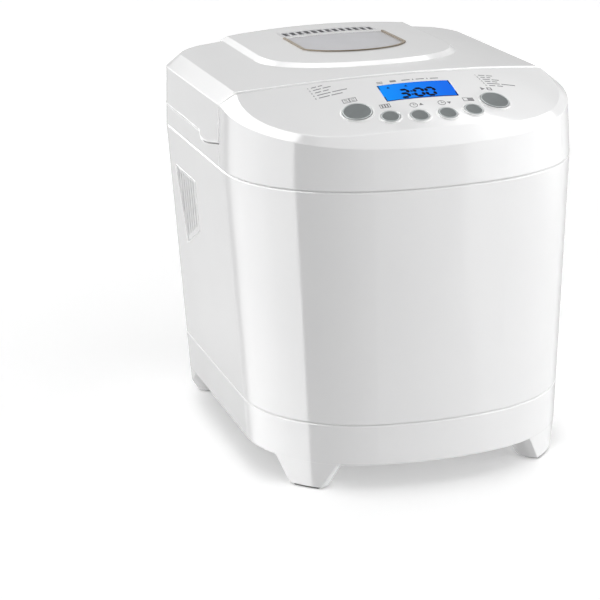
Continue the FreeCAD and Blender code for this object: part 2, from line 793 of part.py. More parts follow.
# Lid liner with a rim that carries the seal, and its screws
liner_inset = wall + liner_clearance + lean * (liner_top - upper_seam)
liner = plan_block(liner_low, liner_inset, liner_top, liner_inset)
liner = liner.common(lid_circle(-wall - liner_clearance, 0, tall))
seal_low = flange_top + seal_clearance
seal_top = lid_low + 1
skirt = chamber_block(1 + seal_width / 2, seal_top, liner_top).cut(
    chamber_block(1 + seal_width / 2 - liner_thickness, seal_top, liner_top))
liner = liner.fuse(skirt).cut([sight, vent_duct])
liner = liner.cut(box(-vent_half + ledge, vent_half - ledge, vent_y0 + ledge, vent_y1 - ledge, 0, tall))
lid_screws = []
for x, y in lid_boss_places:
    liner = liner.cut(post(screw_radius, x, y, 0, tall))
    screw = post(head_radius, x, y, liner_low - head_height, liner_low)
    lid_screws.append(screw.fuse(post(screw_radius, x, y, liner_low, liner_top + 3 * boss_radius)))
save(liner.removeSplitter(), "lid_liner")
save(Part.makeCompound(lid_screws), "lid_screws")
seal = chamber_block(1 + seal_width, seal_low, seal_top).cut(chamber_block(1, seal_low, seal_top))
save(seal, "lid_seal")

# Chassis plate with standoffs under the chamber
plate_inset = wall + 1.5 + draft * (upper_seam - plate_low)
plate = plan_block(plate_low, plate_inset, plate_top, plate_inset)
stand_off = chamber_half - 30
stands = [post(post_radius, s * stand_off, chamber_centre + t * chamber_half / 3, plate_top, chamber_floor)
          for s in (-1, 1) for t in (-1, 1)]
plate = plate.fuse(stands)
spigot_radius = housing_radius - 4
plate = plate.cut(post(spigot_radius, 0, chamber_centre, 0, plate_top))
plate = plate.cut(post(2 * motor_shaft_radius, 0, motor_y, 0, plate_top))
for x, y in post_places:
    plate = plate.cut(post(housing_screw, x, y, 0, plate_top))
save(plate.removeSplitter(), "chassis_plate")

# Baking chamber with its rim flange on the deck
heater_half = chamber_half - heater_inset
chamber = chamber_block(chamber_sheet, chamber_floor, flange_top)
chamber = chamber.fuse(chamber_block(chamber_sheet + flange, deck_top, flange_top))
chamber = chamber.cut(chamber_block(0, chamber_inside, tall))
chamber = chamber.cut(post(shaft_radius + 1, 0, chamber_centre, 0, chamber_inside))
chamber_front = chamber_centre - chamber_half - chamber_sheet
for side in (-1, 1):
    entry = V(side * heater_entry, chamber_front - 1, heater_height)
    chamber = chamber.cut(rod(heater_radius + 2, entry, entry + V(0, 2 * chamber_sheet + 2, 0)))
sensor_y = chamber_centre - 24
sensor_z = pan_bottom + 26
sensor_start = V(chamber_half - 6, sensor_y, sensor_z)
sensor_end = V(chamber_half + 12, sensor_y, sensor_z)
chamber = chamber.cut(rod(heater_radius, sensor_start, sensor_end))
save(chamber.removeSplitter(), "baking_chamber")

# Heating element: one tube around the bottom of the chamber, with both ends through the front
loop_front = chamber_centre - heater_half
bend = heater_bend * math.sqrt(0.5)
turn = heater_bend / 2


def heater_point(x, y):
    return V(x, y, heater_height)


def heater_side(side):
    # One half of the loop, from the front terminal to the middle of the rear.
    c = turn * math.sqrt(0.5)
    x0 = side * heater_entry
    x1 = side * (heater_entry + turn)
    x2 = side * (heater_half - heater_bend)
    x3 = side * heater_half
    y1 = loop_front + heater_bend
    y2 = chamber_centre + heater_half - heater_bend
    y3 = chamber_centre + heater_half
    start = heater_point(x0, chamber_front - terminal_length)
    a = heater_point(x0, loop_front - turn)
    b = heater_point(x0 + side * (turn - c), loop_front - turn + c)
    return [line(start, a), arc(a, b, heater_point(x1, loop_front)),
            line(heater_point(x1, loop_front), heater_point(x2, loop_front)),
            arc(heater_point(x2, loop_front), heater_point(x2 + side * bend, y1 - bend), heater_point(x3, y1)),
            line(heater_point(x3, y1), heater_point(x3, y2)),
            arc(heater_point(x3, y2), heater_point(x2 + side * bend, y2 + bend), heater_point(x2, y3)),
            line(heater_point(x2, y3), heater_point(0, y3))]


heater_start = V(heater_entry, chamber_front - terminal_length, heater_height)
circle = Part.Wire(Part.makeCircle(heater_radius, heater_start, V(0, 1, 0)))
left = heater_side(-1)
left.reverse()
path = Part.Wire(Part.__sortEdges__(heater_side(1) + left))
element = path.makePipeShell([circle], True, False)
save(element, "heating_element")
terminals = []
for side in (-1, 1):
    entry = V(side * heater_entry, chamber_front - 4, heater_height)
    sleeve = rod(heater_radius + 2, entry, entry + V(0, 4 + chamber_sheet, 0))
    terminals.append(sleeve.cut(element))
save(Part.makeCompound(terminals), "heater_terminals")
clips = []
for x, y in ((-heater_half, chamber_centre), (heater_half, chamber_centre), (0, chamber_centre + heater_half)):
    clips.append(box(x - 5, x + 5, y - 5, y + 5, chamber_inside, heater_height).cut(element))
save(Part.makeCompound(clips), "heater_clips")
save(rod(heater_radius, sensor_start, sensor_end), "temperature_sensor")
fuse_x = -chamber_half - chamber_sheet
fuse = box(fuse_x - fuse_depth, fuse_x, chamber_centre - fuse_half, chamber_centre + fuse_half,
           sensor_z - fuse_height / 2, sensor_z + fuse_height / 2)
save(fuse, "thermal_fuse")
clip_gap = base_ring_radius + 1
pan_clips = []
for side in (-1, 1):
    x0 = min(side * clip_gap, side * (clip_gap + clip_sheet))
    leaf = box(x0, x0 + clip_sheet, chamber_centre - clip_half, chamber_centre + clip_half, chamber_inside,
               pan_bottom - clip_drop)
    pan_clips.append(leaf)
save(Part.makeCompound(pan_clips), "pan_clips")

# Bread pan with ears for its handle
rim_z = pan_top - pan_sheet
bottom_x = pan_half_x - pan_taper
bottom_y = pan_half_y - pan_taper
outer_low = rounded_wire(bottom_x, bottom_y, pan_corner - pan_taper, pan_bottom)
outer_high = rounded_wire(pan_half_x, pan_half_y, pan_corner, pan_top)
pan = Part.makeLoft([outer_low, outer_high], True, True)
pan = pan.fuse(rounded_block(pan_half_x + pan_rim, pan_half_y + pan_rim, pan_corner + pan_rim, rim_z, pan_top))
bail_z = pan_top - bail_drop
ear_end = pan_half_x + pan_rim + 2
for side in (-1, 1):
    x0 = min(side * (pan_half_x - 2), side * ear_end)
    ear = box(x0, x0 + ear_end - pan_half_x + 2, chamber_centre - ear_length / 2, chamber_centre + ear_length / 2,
              bail_z - ear_length / 2, pan_top)
    pan = pan.fuse(ear)
inner_low = rounded_wire(bottom_x - pan_sheet, bottom_y - pan_sheet, pan_corner - pan_taper - pan_sheet,
                         pan_bottom + pan_sheet)
inner_high = rounded_wire(pan_half_x - pan_sheet, pan_half_y - pan_sheet, pan_corner - pan_sheet, pan_top)
pan = pan.cut(Part.makeLoft([inner_low, inner_high], True, True))
bearing_radius = shaft_radius + bush_wall + 1
pan = pan.cut(post(bearing_radius, 0, chamber_centre, 0, pan_bottom + pan_sheet))
pin_inner = pan_half_x + 0.5
for side in (-1, 1):
    pan = pan.cut(rod(bail_wire + running_clearance, V(side * pin_inner, chamber_centre, bail_z),
                      V(side * (ear_end + 1), chamber_centre, bail_z)))
save(pan.removeSplitter(), "bread_pan")
ring_low = chamber_inside + floor_clearance
base = tube(base_ring_radius, base_ring_radius - base_ring_sheet, 0, chamber_centre, ring_low, pan_bottom)
base = base.fuse(tube(base_ring_radius - 1, bearing_radius, 0, chamber_centre, pan_bottom - 2, pan_bottom))
save(base.removeSplitter(), "pan_base")
shaft_bore = shaft_radius + running_clearance
bearing_low = pan_bottom - 5.5
bearing_top = pan_bottom + 8
save(tube(bearing_radius, shaft_bore, 0, chamber_centre, bearing_low, bearing_top), "pan_bearing")
save(tube(bearing_radius - 1, shaft_bore, 0, chamber_centre, bearing_top, bearing_top + 3), "pan_seal")

# Pan handle, folded down behind the pan
arm_x = ear_end + bail_wire + 1
pin_end_x = pin_inner + 0.5
bar_y = chamber_centre + bail_reach
curve = 12.0
cut = curve * (1 - math.sqrt(0.5))
bail_path = [line(V(-arm_x, chamber_centre, bail_z), V(-arm_x, bar_y - curve, bail_z)),
             arc(V(-arm_x, bar_y - curve, bail_z), V(-arm_x + cut, bar_y - cut, bail_z),
                 V(-arm_x + curve, bar_y, bail_z)),
             line(V(-arm_x + curve, bar_y, bail_z), V(arm_x - curve, bar_y, bail_z)),
             arc(V(arm_x - curve, bar_y, bail_z), V(arm_x - cut, bar_y - cut, bail_z),
                 V(arm_x, bar_y - curve, bail_z)),
             line(V(arm_x, bar_y - curve, bail_z), V(arm_x, chamber_centre, bail_z))]
wire_end = Part.Wire(Part.makeCircle(bail_wire, V(-arm_x, chamber_centre, bail_z), V(0, 1, 0)))
bail = Part.Wire(bail_path).makePipeShell([wire_end], True, False)
for side in (-1, 1):
    bail = bail.fuse(rod(bail_wire, V(side * pin_end_x, chamber_centre, bail_z),
                         V(side * arm_x, chamber_centre, bail_z)))
    bail = bail.fuse(Part.makeSphere(bail_wire, V(side * arm_x, chamber_centre, bail_z)))
save(bail.removeSplitter(), "pan_handle")

# Kneading paddle on the pan's shaft, and the wing under the pan
wing_top = bearing_low - 1
wing_low = wing_top - wing_height
paddle_low = bearing_top + 5
paddle_top = paddle_low + paddle_height
save(post(shaft_radius, 0, chamber_centre, wing_low, paddle_top - 2), "pan_shaft")
blade_points = [(shaft_radius + 1, paddle_low), (paddle_reach, paddle_low),
                (paddle_reach - 4, paddle_low + 0.6 * paddle_height),
                (paddle_reach / 2, paddle_top), (shaft_radius + 1, paddle_top)]
blade = polygon([V(x, chamber_centre - paddle_blade / 2, z) for x, z in blade_points])
blade = blade.extrude(V(0, paddle_blade, 0))
paddle = post(paddle_hub, 0, chamber_centre, paddle_low, paddle_top).fuse(blade)
paddle = paddle.cut(post(shaft_radius, 0, chamber_centre, 0, paddle_top - 2))
save(paddle.removeSplitter(), "kneading_paddle")
wing = box(-wing_half, wing_half, chamber_centre - wing_width / 2, chamber_centre + wing_width / 2, wing_low, wing_top)
wing = wing.fuse(post(paddle_hub, 0, chamber_centre, wing_low, wing_top))
save(wing.cut(post(shaft_radius, 0, chamber_centre, 0, tall)).removeSplitter(), "wing_coupler")

# Drive coupling, shaft, bushes, bearing housing and large pulley
coupling_low = chamber_inside + 1.3
coupling_top = wing_low - 1
coupling = post(wing_half + 2, 0, chamber_centre, coupling_low, coupling_top)
for side in (-1, 1):
    lug_y = wing_width / 2 + wing_clearance
    lug = box(paddle_hub + 1.5, wing_half, lug_y, lug_y + 5, coupling_top - 1, wing_top - 1)
    if side < 0:
        lug.rotate(V(0, 0, 0), V(0, 0, 1), 180)
    lug.translate(V(0, chamber_centre, 0))
    coupling = coupling.fuse(lug)
shaft_top = coupling_top - 1
coupling = coupling.cut(post(shaft_radius, 0, chamber_centre, 0, shaft_top))
save(coupling.removeSplitter(), "drive_coupling")
save(post(shaft_radius, 0, chamber_centre, pulley_low - 2, shaft_top), "drive_shaft")
bush_radius = shaft_radius + bush_wall
spigot_low = pulley_low + pulley_height + 2
bearing = post(housing_radius + 9, 0, chamber_centre, plate_top, plate_top + 3)
bearing = bearing.fuse(post(housing_radius, 0, chamber_centre, plate_top, chamber_floor))
bearing = bearing.fuse(post(spigot_radius, 0, chamber_centre, spigot_low, plate_top))
bearing = bearing.cut(post(bush_radius, 0, chamber_centre, 0, tall))
save(bearing.removeSplitter(), "bearing_housing")
bush_length = (chamber_floor - spigot_low) / 3
bushes = [tube(bush_radius, shaft_bore, 0, chamber_centre, spigot_low, spigot_low + bush_length),
          tube(bush_radius, shaft_bore, 0, chamber_centre, chamber_floor - bush_length, chamber_floor)]
save(Part.makeCompound(bushes), "shaft_bushes")


def pulley(radius, bore, y):
    top = pulley_low + pulley_height
    wheel = post(radius, 0, y, pulley_low, top)
    wheel = wheel.fuse(post(radius + flange_height, 0, y, pulley_low, pulley_low + pulley_flange))
    wheel = wheel.fuse(post(radius + flange_height, 0, y, top - pulley_flange, top))
    return wheel.cut(post(bore, 0, y, 0, tall))


large_pulley = pulley(large_pulley_radius, shaft_radius, chamber_centre)
hole_ring = (large_pulley_radius + 2 * paddle_hub) / 2
for i in range(6):
    angle = math.radians(60 * i)
    hole_x = hole_ring * math.cos(angle)
    hole_y = chamber_centre + hole_ring * math.sin(angle)
    large_pulley = large_pulley.cut(post(large_pulley_radius / 5, hole_x, hole_y, 0, tall))
save(large_pulley.removeSplitter(), "large_pulley")
save(pulley(small_pulley_radius, motor_shaft_radius, motor_y).removeSplitter(), "motor_pulley")


def belt_block(grow):
    # The closed outline of the belt around both pulleys.
    ra = large_pulley_radius + grow
    rb = small_pulley_radius + grow
    lean_angle = math.asin((ra - rb) / (chamber_centre - motor_y))
    cx = math.cos(lean_angle)
    cy = -math.sin(lean_angle)
    z = pulley_low + pulley_flange + belt_clearance
    a = V(ra * cx, chamber_centre + ra * cy, z)
    b = V(-ra * cx, chamber_centre + ra * cy, z)
    c = V(-rb * cx, motor_y + rb * cy, z)
    d = V(rb * cx, motor_y + rb * cy, z)
    wire = Part.Wire([arc(a, V(0, chamber_centre + ra, z), b), line(b, c),
                      arc(c, V(0, motor_y - rb, z), d), line(d, a)])
    return Part.Face(wire).extrude(V(0, 0, pulley_height - 2 * pulley_flange - 2 * belt_clearance))


save(belt_block(belt_clearance + belt_thickness).cut(belt_block(belt_clearance)), "drive_belt")

# Motor on rubber mounts, with its shaft down through the chassis plate
motor_low = plate_top + mount_height
motor_top = motor_low + motor_height
motor = post(motor_radius - 3, 0, motor_y, motor_low, motor_top)
motor = motor.fuse(post(motor_radius, 0, motor_y, motor_low, motor_low + motor_height / 5))
motor = motor.fuse(post(motor_radius, 0, motor_y, motor_low + 0.35 * motor_height, motor_low + 0.75 * motor_height))
shaft_end = motor_top - motor_height / 8
motor = motor.cut(post(motor_shaft_radius + running_clearance, 0, motor_y, 0, shaft_end + 1))
save(motor.removeSplitter(), "motor_body")
save(post(motor_shaft_radius, 0, motor_y, pulley_low - 2, shaft_end), "motor_shaft")
mounts = []
for i in range(4):
    angle = math.radians(45 + 90 * i)
    mount_x = 0.75 * motor_radius * math.cos(angle)
    mount_y = motor_y + 0.75 * motor_radius * math.sin(angle)
    mounts.append(post(post_radius, mount_x, mount_y, plate_top, motor_low))
save(Part.makeCompound(mounts), "motor_mounts")

# Electrics beside the motor, and the shield in front of the chamber
shield_y = chamber_front - terminal_length - shield_gap
shield_front = shield_y - shield_sheet
shield_half = chamber_half - 6
shield = box(-shield_half, shield_half, shield_front, shield_y, plate_top, lip_low - 2)
save(shield, "heat_shield")
board_y = shield_front - power_board_gap
power_x0 = -shield_half
power_x1 = -motor_radius - 8
power_z0 = plate_top + power_board_lift
power_z1 = power_z0 + power_board_height
power = box(power_x0, power_x1, board_y - board_thickness, board_y, power_z0, power_z1)
spacers = [rod(2.5, V(x, board_y, z), V(x, shield_front, z))
           for x in (power_x0 + 4, power_x1 - 4) for z in (power_z0 + 4, power_z1 - 4)]
save(power.fuse(spacers).removeSplitter(), "power_board")
face_y = board_y - board_thickness
power_length = power_x1 - power_x0
relay = box(power_x0 + 3, power_x0 + 0.45 * power_length, face_y - relay_depth, face_y,
            power_z0 + power_board_height / 2, power_z1 - 8)
choke = box(power_x1 - 0.45 * power_length, power_x1 - 2, face_y - relay_depth, face_y,
            power_z0 + 8, power_z0 + 0.45 * power_board_height)
can_x = power_x0 + 2 + can_radius
can_z = power_z0 + power_board_height / 4
can = rod(can_radius, V(can_x, face_y, can_z), V(can_x, face_y - relay_depth, can_z))
save(Part.makeCompound([relay, choke, can]), "power_board_parts")
capacitor_y = shield_front - capacitor_gap - capacitor_radius
capacitor_x = motor_radius + capacitor_side + capacitor_radius
save(post(capacitor_radius, capacitor_x, capacitor_y, plate_top, plate_top + capacitor_height), "run_capacitor")
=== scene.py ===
# %% [markdown]
# # Dressing a bread machine
# The imported solids already have the true shapes and places of the real pieces. This lesson
# puts a camera, light and finishes around them, and adds the thin things that solids leave
# out: the print on the control panel, the figures of the display, the rims of the buttons, a
# dark sheet of painted shade under the steam vent and the fine lips along the lid.
# Everything is in metres, in the frame of the imported model.

# %% Load the imported model
import json
import math
import bpy
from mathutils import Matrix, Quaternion, Vector


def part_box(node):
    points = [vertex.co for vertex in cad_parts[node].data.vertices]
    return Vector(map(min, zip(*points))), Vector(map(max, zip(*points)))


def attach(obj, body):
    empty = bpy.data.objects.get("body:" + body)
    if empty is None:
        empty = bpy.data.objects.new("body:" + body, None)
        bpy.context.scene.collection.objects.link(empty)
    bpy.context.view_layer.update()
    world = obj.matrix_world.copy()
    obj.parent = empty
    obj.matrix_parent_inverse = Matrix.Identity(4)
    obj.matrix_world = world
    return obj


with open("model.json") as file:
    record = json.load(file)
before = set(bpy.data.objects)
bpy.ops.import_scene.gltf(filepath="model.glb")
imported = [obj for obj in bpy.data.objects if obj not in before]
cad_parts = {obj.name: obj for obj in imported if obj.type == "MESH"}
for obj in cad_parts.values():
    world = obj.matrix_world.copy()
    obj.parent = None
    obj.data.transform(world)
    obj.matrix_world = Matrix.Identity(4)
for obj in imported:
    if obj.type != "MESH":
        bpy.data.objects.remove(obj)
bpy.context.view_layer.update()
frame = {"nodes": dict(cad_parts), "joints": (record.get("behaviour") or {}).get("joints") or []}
nodes = frame["nodes"]
mm = 0.001


def deselect():
    bpy.ops.object.select_all(action="DESELECT")


def set_range(node, *values):
    # The two ends that go into a Map Range node, and the two that come out.
    for label, value in zip(("From Min", "From Max", "To Min", "To Max"), values):
        node.inputs[label].default_value = value


# %% [markdown]
# ## Camera
# The photograph looks down a little on the front of the machine from its left. A long lens
# keeps the upright edges nearly parallel. A camera in Blender looks along its own -Z, so it is
# turned towards the machine with a track quaternion, and then rolled a little about that line.

# %% Camera
eye = Vector((-0.51902, -1.55093, 0.60485))
azimuth = math.radians(-16.386)
elevation = math.radians(17.006)
roll = math.radians(-1.641)
backward = Vector((math.sin(azimuth) * math.cos(elevation),
                   -math.cos(azimuth) * math.cos(elevation),
                   math.sin(elevation)))
camera = bpy.data.objects.new("camera", bpy.data.cameras.new("camera"))
bpy.context.scene.collection.objects.link(camera)
camera.data.sensor_width = 36.0
camera.data.lens = 127.807
camera.data.clip_end = 20.0
camera.location = eye
camera.rotation_mode = "QUATERNION"
camera.rotation_quaternion = (-backward).to_track_quat("-Z", "Y") @ Quaternion((0, 0, 1), roll)
bpy.context.scene.camera = camera
bpy.context.scene.view_settings.view_transform = "Standard"

# %% [markdown]
# ## Studio
# A white appliance on a white ground is drawn by its reflections. The world is an even white
# for the camera and for gloss, and a dimmer white for the light that it gives. A large key
# light stands to the right of the front and a softbox hangs above. Gloss doesn't show them,
# because a lamp ends in a hard line: the cards of the next step are what it shows. The floor is
# pale and keeps the contact shadow; seen directly it glows a little, and more far off, so that
# it meets the white of the world.

# %% World and floor
fill_strength = 0.57
floor_size = 12.0
floor_drop = 0.2 * mm
near, near_glow = 0.3, 0.26
far, far_glow = 1.6, 0.42
seen_tone = 0.92
bounce_tone = 0.74


def white_for_direct_rays(tree):
    # 1 where a ray comes from the camera, a gloss or a clear surface, and 0 elsewhere.
    path = tree.nodes.new("ShaderNodeLightPath")
    first = tree.nodes.new("ShaderNodeMath")
    first.operation = "MAXIMUM"
    second = tree.nodes.new("ShaderNodeMath")
    second.operation = "MAXIMUM"
    tree.links.new(path.outputs["Is Camera Ray"], first.inputs[0])
    tree.links.new(path.outputs["Is Glossy Ray"], first.inputs[1])
    tree.links.new(first.outputs[0], second.inputs[0])
    tree.links.new(path.outputs["Is Transmission Ray"], second.inputs[1])
    return second.outputs[0]


world = bpy.data.worlds.new("studio")
bpy.context.scene.world = world
world.use_nodes = True
sky = world.node_tree
background = sky.nodes["Background"]
background.inputs["Color"].default_value = (1, 1, 1, 1)
level = sky.nodes.new("ShaderNodeMapRange")
set_range(level, 0.0, 1.0, fill_strength, 1.0)
sky.links.new(white_for_direct_rays(sky), level.inputs["Value"])
sky.links.new(level.outputs["Result"], background.inputs["Strength"])

deselect()
bpy.ops.mesh.primitive_plane_add(size=floor_size, location=(0, 0, -floor_drop))
floor = bpy.context.object
floor.name = "floor"
ground = bpy.data.materials.new("pale_ground")
ground.use_nodes = True
ground_tree = ground.node_tree
ground_shader = ground_tree.nodes["Principled BSDF"]
ground_shader.inputs["Roughness"].default_value = 0.6
ground_shader.inputs["Specular IOR Level"].default_value = 0.1
ground_shader.inputs["Emission Color"].default_value = (1, 1, 1, 1)
direct = white_for_direct_rays(ground_tree)
tone = ground_tree.nodes.new("ShaderNodeMapRange")
set_range(tone, 0.0, 1.0, bounce_tone, seen_tone)
distance = ground_tree.nodes.new("ShaderNodeVectorMath")
distance.operation = "LENGTH"
fall = ground_tree.nodes.new("ShaderNodeMapRange")
set_range(fall, near, far, near_glow, far_glow)
glow = ground_tree.nodes.new("ShaderNodeMapRange")
ground_tree.links.new(ground_tree.nodes.new("ShaderNodeTexCoord").outputs["Object"], distance.inputs[0])
ground_tree.links.new(distance.outputs["Value"], fall.inputs["Value"])
ground_tree.links.new(fall.outputs["Result"], glow.inputs["To Max"])
ground_tree.links.new(direct, tone.inputs["Value"])
ground_tree.links.new(direct, glow.inputs["Value"])
ground_tree.links.new(tone.outputs["Result"], ground_shader.inputs["Base Color"])
ground_tree.links.new(glow.outputs["Result"], ground_shader.inputs["Emission Strength"])
floor.data.materials.append(ground)
floor.visible_glossy = False

# %% Lamps
def softbox(name, centre, target, width, height, power):
    # A rectangular lamp at one place that faces another, seen by no camera and in no gloss.
    lamp = bpy.data.objects.new(name, bpy.data.lights.new(name, "AREA"))
    lamp.data.shape = "RECTANGLE"
    lamp.data.size = width
    lamp.data.size_y = height
    lamp.data.energy = power
    lamp.location = centre
    direction = Vector(target) - Vector(centre)
    lamp.rotation_mode = "QUATERNION"
    lamp.rotation_quaternion = direction.to_track_quat("-Z", "Y")
    lamp.visible_camera = False
    lamp.visible_glossy = False
    bpy.context.scene.collection.objects.link(lamp)
    return lamp


softbox("key", (1.56, -1.08, 0.20), (0, 0, 0.15), 1.2, 0.55, 17.0)
softbox("overhead", (0.0, -0.75, 1.6), (0, 0, 0.25), 1.4, 0.9, 4.0)

# %% [markdown]
# ## White cards
# Gloss shows what stands around an object, so a photographer places cards where a curved edge
# should shine. These are meshes whose glow fades from one end to the other, seen by gloss
# alone. The card on the left draws the bright upright band beside the front corner, the one on
# the right shades the other end of the front, and those overhead whiten the sloped edges. A
# grey one behind darkens the top of the lid a little.

# %% Cards
def card_finish(name, axis, reach, glow, high_gain=0.0, rise=(0.3, 0.7)):
    # Paper whose glow runs between two values over a reach along an axis, and gains as it rises.
    paper = bpy.data.materials.new(name)
    paper.use_nodes = True
    tree = paper.node_tree
    shader = tree.nodes["Principled BSDF"]
    shader.inputs["Base Color"].default_value = (0, 0, 0, 1)
    shader.inputs["Specular IOR Level"].default_value = 0.0
    shader.inputs["Emission Color"].default_value = (1, 1, 1, 1)
    axes = tree.nodes.new("ShaderNodeSeparateXYZ")
    tree.links.new(tree.nodes.new("ShaderNodeTexCoord").outputs["Object"], axes.inputs["Vector"])
    along = tree.nodes.new("ShaderNodeMapRange")
    above = tree.nodes.new("ShaderNodeMapRange")
    set_range(along, *reach, *glow)
    set_range(above, *rise, 0.0, high_gain)
    total = tree.nodes.new("ShaderNodeMath")
    tree.links.new(axes.outputs[axis], along.inputs["Value"])
    tree.links.new(axes.outputs["Z"], above.inputs["Value"])
    tree.links.new(along.outputs["Result"], total.inputs[0])
    tree.links.new(above.outputs["Result"], total.inputs[1])
    tree.links.new(total.outputs[0], shader.inputs["Emission Strength"])
    return paper


def plane_card(name, centre, width, depth, turn, paper):
    # A rectangle of a width and depth, turned about X or Y from level and set at its centre.
    deselect()
    bpy.ops.mesh.primitive_plane_add(size=1.0)
    card = bpy.context.object
    card.scale = (width, depth, 1)
    card.rotation_euler = [math.radians(v) for v in turn]
    card.location = centre
    bpy.ops.object.transform_apply(location=True, rotation=True, scale=True)
    card.name = name
    card.data.materials.append(paper)
    card.visible_camera = False
    card.visible_diffuse = False
    card.visible_shadow = False


plane_card("left_card", (-0.75, 1.43, 0.35), 2.7, 3.54, (0, 90, 0),
           card_finish("left_paper", "Y", (0.12, 1.25), (6.6, 1.45), 6.0))
plane_card("upper_left_card", (-1.1, 1.3, 1.72), 1.8, 2.6, (0, 0, 0),
           card_finish("upper_left_paper", "Y", (0.5, 1.7), (9.5, 2.0)))
plane_card("rear_left_card", (-1.1, 4.1, 1.72), 1.9, 3.0, (0, 0, 0),
           card_finish("rear_left_paper", "Y", (3.4, 4.7), (4.2, 2.2)))
plane_card("upper_card", (0.31, 0.33, 1.72), 1.02, 0.55, (0, 0, 0),
           card_finish("upper_paper", "X", (-0.2, 0.8), (8.0, 6.0)))
plane_card("right_card", (1.6, -1.25, -0.1), 2.0, 3.6, (0, 90, 0),
           card_finish("right_paper", "Y", (-2.6, -0.6), (1.9, 1.0), 1.8, (-0.3, -0.08)))
plane_card("chamfer_card", (0.125, -0.475, 1.70), 1.25, 0.95, (0, 0, 0),
           card_finish("chamfer_paper", "X", (0.25, 0.75), (2.6, 4.4)))
plane_card("upper_right_card", (1.5, 0.0, 1.72), 2.2, 1.9, (0, 0, 0),
           card_finish("upper_right_paper", "X", (0.42, 0.95), (1.0, 6.5)))
plane_card("panel_card", (0.75, 1.5, 1.73), 1.9, 1.7, (0, 0, 0),
           card_finish("panel_paper", "Y", (0.9, 2.2), (2.0, 1.1)))
plane_card("grey_card", (1.7, 2.4, -0.25), 2.8, 2.4, (90, 0, 0),
           card_finish("grey_paper", "Z", (0.45, 0.95), (0.62, 1.0)))

# %% [markdown]
# ## Shared surface effects
# Moulded plastic is never perfectly even: its tone and its gloss drift a little, and its skin
# has a faint ripple. Sheet metal has a grain in one direction, and a baked coating has flecks.
# Each of these is a node group, built once and placed in every finish that needs it.

# %% Node groups
def open_group(name, inputs, outputs):
    # A new shader group with float inputs given as {name: value}, after its Vector input.
    group = bpy.data.node_groups.new(name, "ShaderNodeTree")
    group.interface.new_socket("Vector", in_out="INPUT", socket_type="NodeSocketVector")
    for label, value in inputs.items():
        socket = group.interface.new_socket(label, in_out="INPUT", socket_type="NodeSocketFloat")
        socket.default_value = value
    for label in outputs:
        group.interface.new_socket(label, in_out="OUTPUT", socket_type="NodeSocketFloat")
    return group, group.nodes.new("NodeGroupInput"), group.nodes.new("NodeGroupOutput")


def moulded_skin():
    # Tone: slow drift from 0 to 1. Roughness: around a middle value. Height: fine ripple.
    group, given, made = open_group("moulded_skin", {"Scale": 18.0, "Middle": 0.14, "Spread": 0.05},
                                    ("Tone", "Roughness", "Height"))
    drift = group.nodes.new("ShaderNodeTexNoise")
    drift.inputs["Detail"].default_value = 3.0
    ripple = group.nodes.new("ShaderNodeTexNoise")
    ripple.inputs["Scale"].default_value = 900.0
    ripple.inputs["Detail"].default_value = 2.0
    low = group.nodes.new("ShaderNodeMath")
    low.operation = "SUBTRACT"
    high = group.nodes.new("ShaderNodeMath")
    high.operation = "ADD"
    spread = group.nodes.new("ShaderNodeMapRange")
    link = group.links.new
    for texture in (drift, ripple):
        link(given.outputs["Vector"], texture.inputs["Vector"])
    link(given.outputs["Scale"], drift.inputs["Scale"])
    link(given.outputs["Middle"], low.inputs[0])
    link(given.outputs["Spread"], low.inputs[1])
    link(given.outputs["Middle"], high.inputs[0])
    link(given.outputs["Spread"], high.inputs[1])
    link(drift.outputs["Fac"], spread.inputs["Value"])
    link(low.outputs[0], spread.inputs["To Min"])
    link(high.outputs[0], spread.inputs["To Max"])
    link(drift.outputs["Fac"], made.inputs["Tone"])
    link(spread.outputs["Result"], made.inputs["Roughness"])
    link(ripple.outputs["Fac"], made.inputs["Height"])
    return group


def drawn_grain():
    # Fine streaks along Z in the given coordinates, as on rolled or brushed sheet.
    group, given, made = open_group("drawn_grain", {"Across": 900.0, "Along": 14.0}, ("Tone", "Height"))
    across = group.nodes.new("ShaderNodeCombineXYZ")
    stretch = group.nodes.new("ShaderNodeVectorMath")
    stretch.operation = "MULTIPLY"
    streaks = group.nodes.new("ShaderNodeTexNoise")
    streaks.inputs["Scale"].default_value = 1.0
    streaks.inputs["Detail"].default_value = 3.0
    link = group.links.new
    link(given.outputs["Across"], across.inputs["X"])
    link(given.outputs["Across"], across.inputs["Y"])
    link(given.outputs["Along"], across.inputs["Z"])
    link(given.outputs["Vector"], stretch.inputs[0])
    link(across.outputs["Vector"], stretch.inputs[1])
    link(stretch.outputs["Vector"], streaks.inputs["Vector"])
    link(streaks.outputs["Fac"], made.inputs["Tone"])
    link(streaks.outputs["Fac"], made.inputs["Height"])
    return group


def coating_flecks():
    # Mask: small pale flecks scattered in a dark coating. Height: its faint orange peel.
    group, given, made = open_group("coating_flecks", {"Scale": 700.0, "Size": 0.16}, ("Mask", "Height"))
    cells = group.nodes.new("ShaderNodeTexVoronoi")
    small = group.nodes.new("ShaderNodeMath")
    small.operation = "LESS_THAN"
    peel = group.nodes.new("ShaderNodeTexNoise")
    peel.inputs["Scale"].default_value = 600.0
    link = group.links.new
    link(given.outputs["Vector"], cells.inputs["Vector"])
    link(given.outputs["Vector"], peel.inputs["Vector"])
    link(given.outputs["Scale"], cells.inputs["Scale"])
    link(cells.outputs["Distance"], small.inputs[0])
    link(given.outputs["Size"], small.inputs[1])
    link(small.outputs[0], made.inputs["Mask"])
    link(peel.outputs["Fac"], made.inputs["Height"])
    return group


skin_group = moulded_skin()
grain_group = drawn_grain()
fleck_group = coating_flecks()
print("groups:", [g.name for g in bpy.data.node_groups])
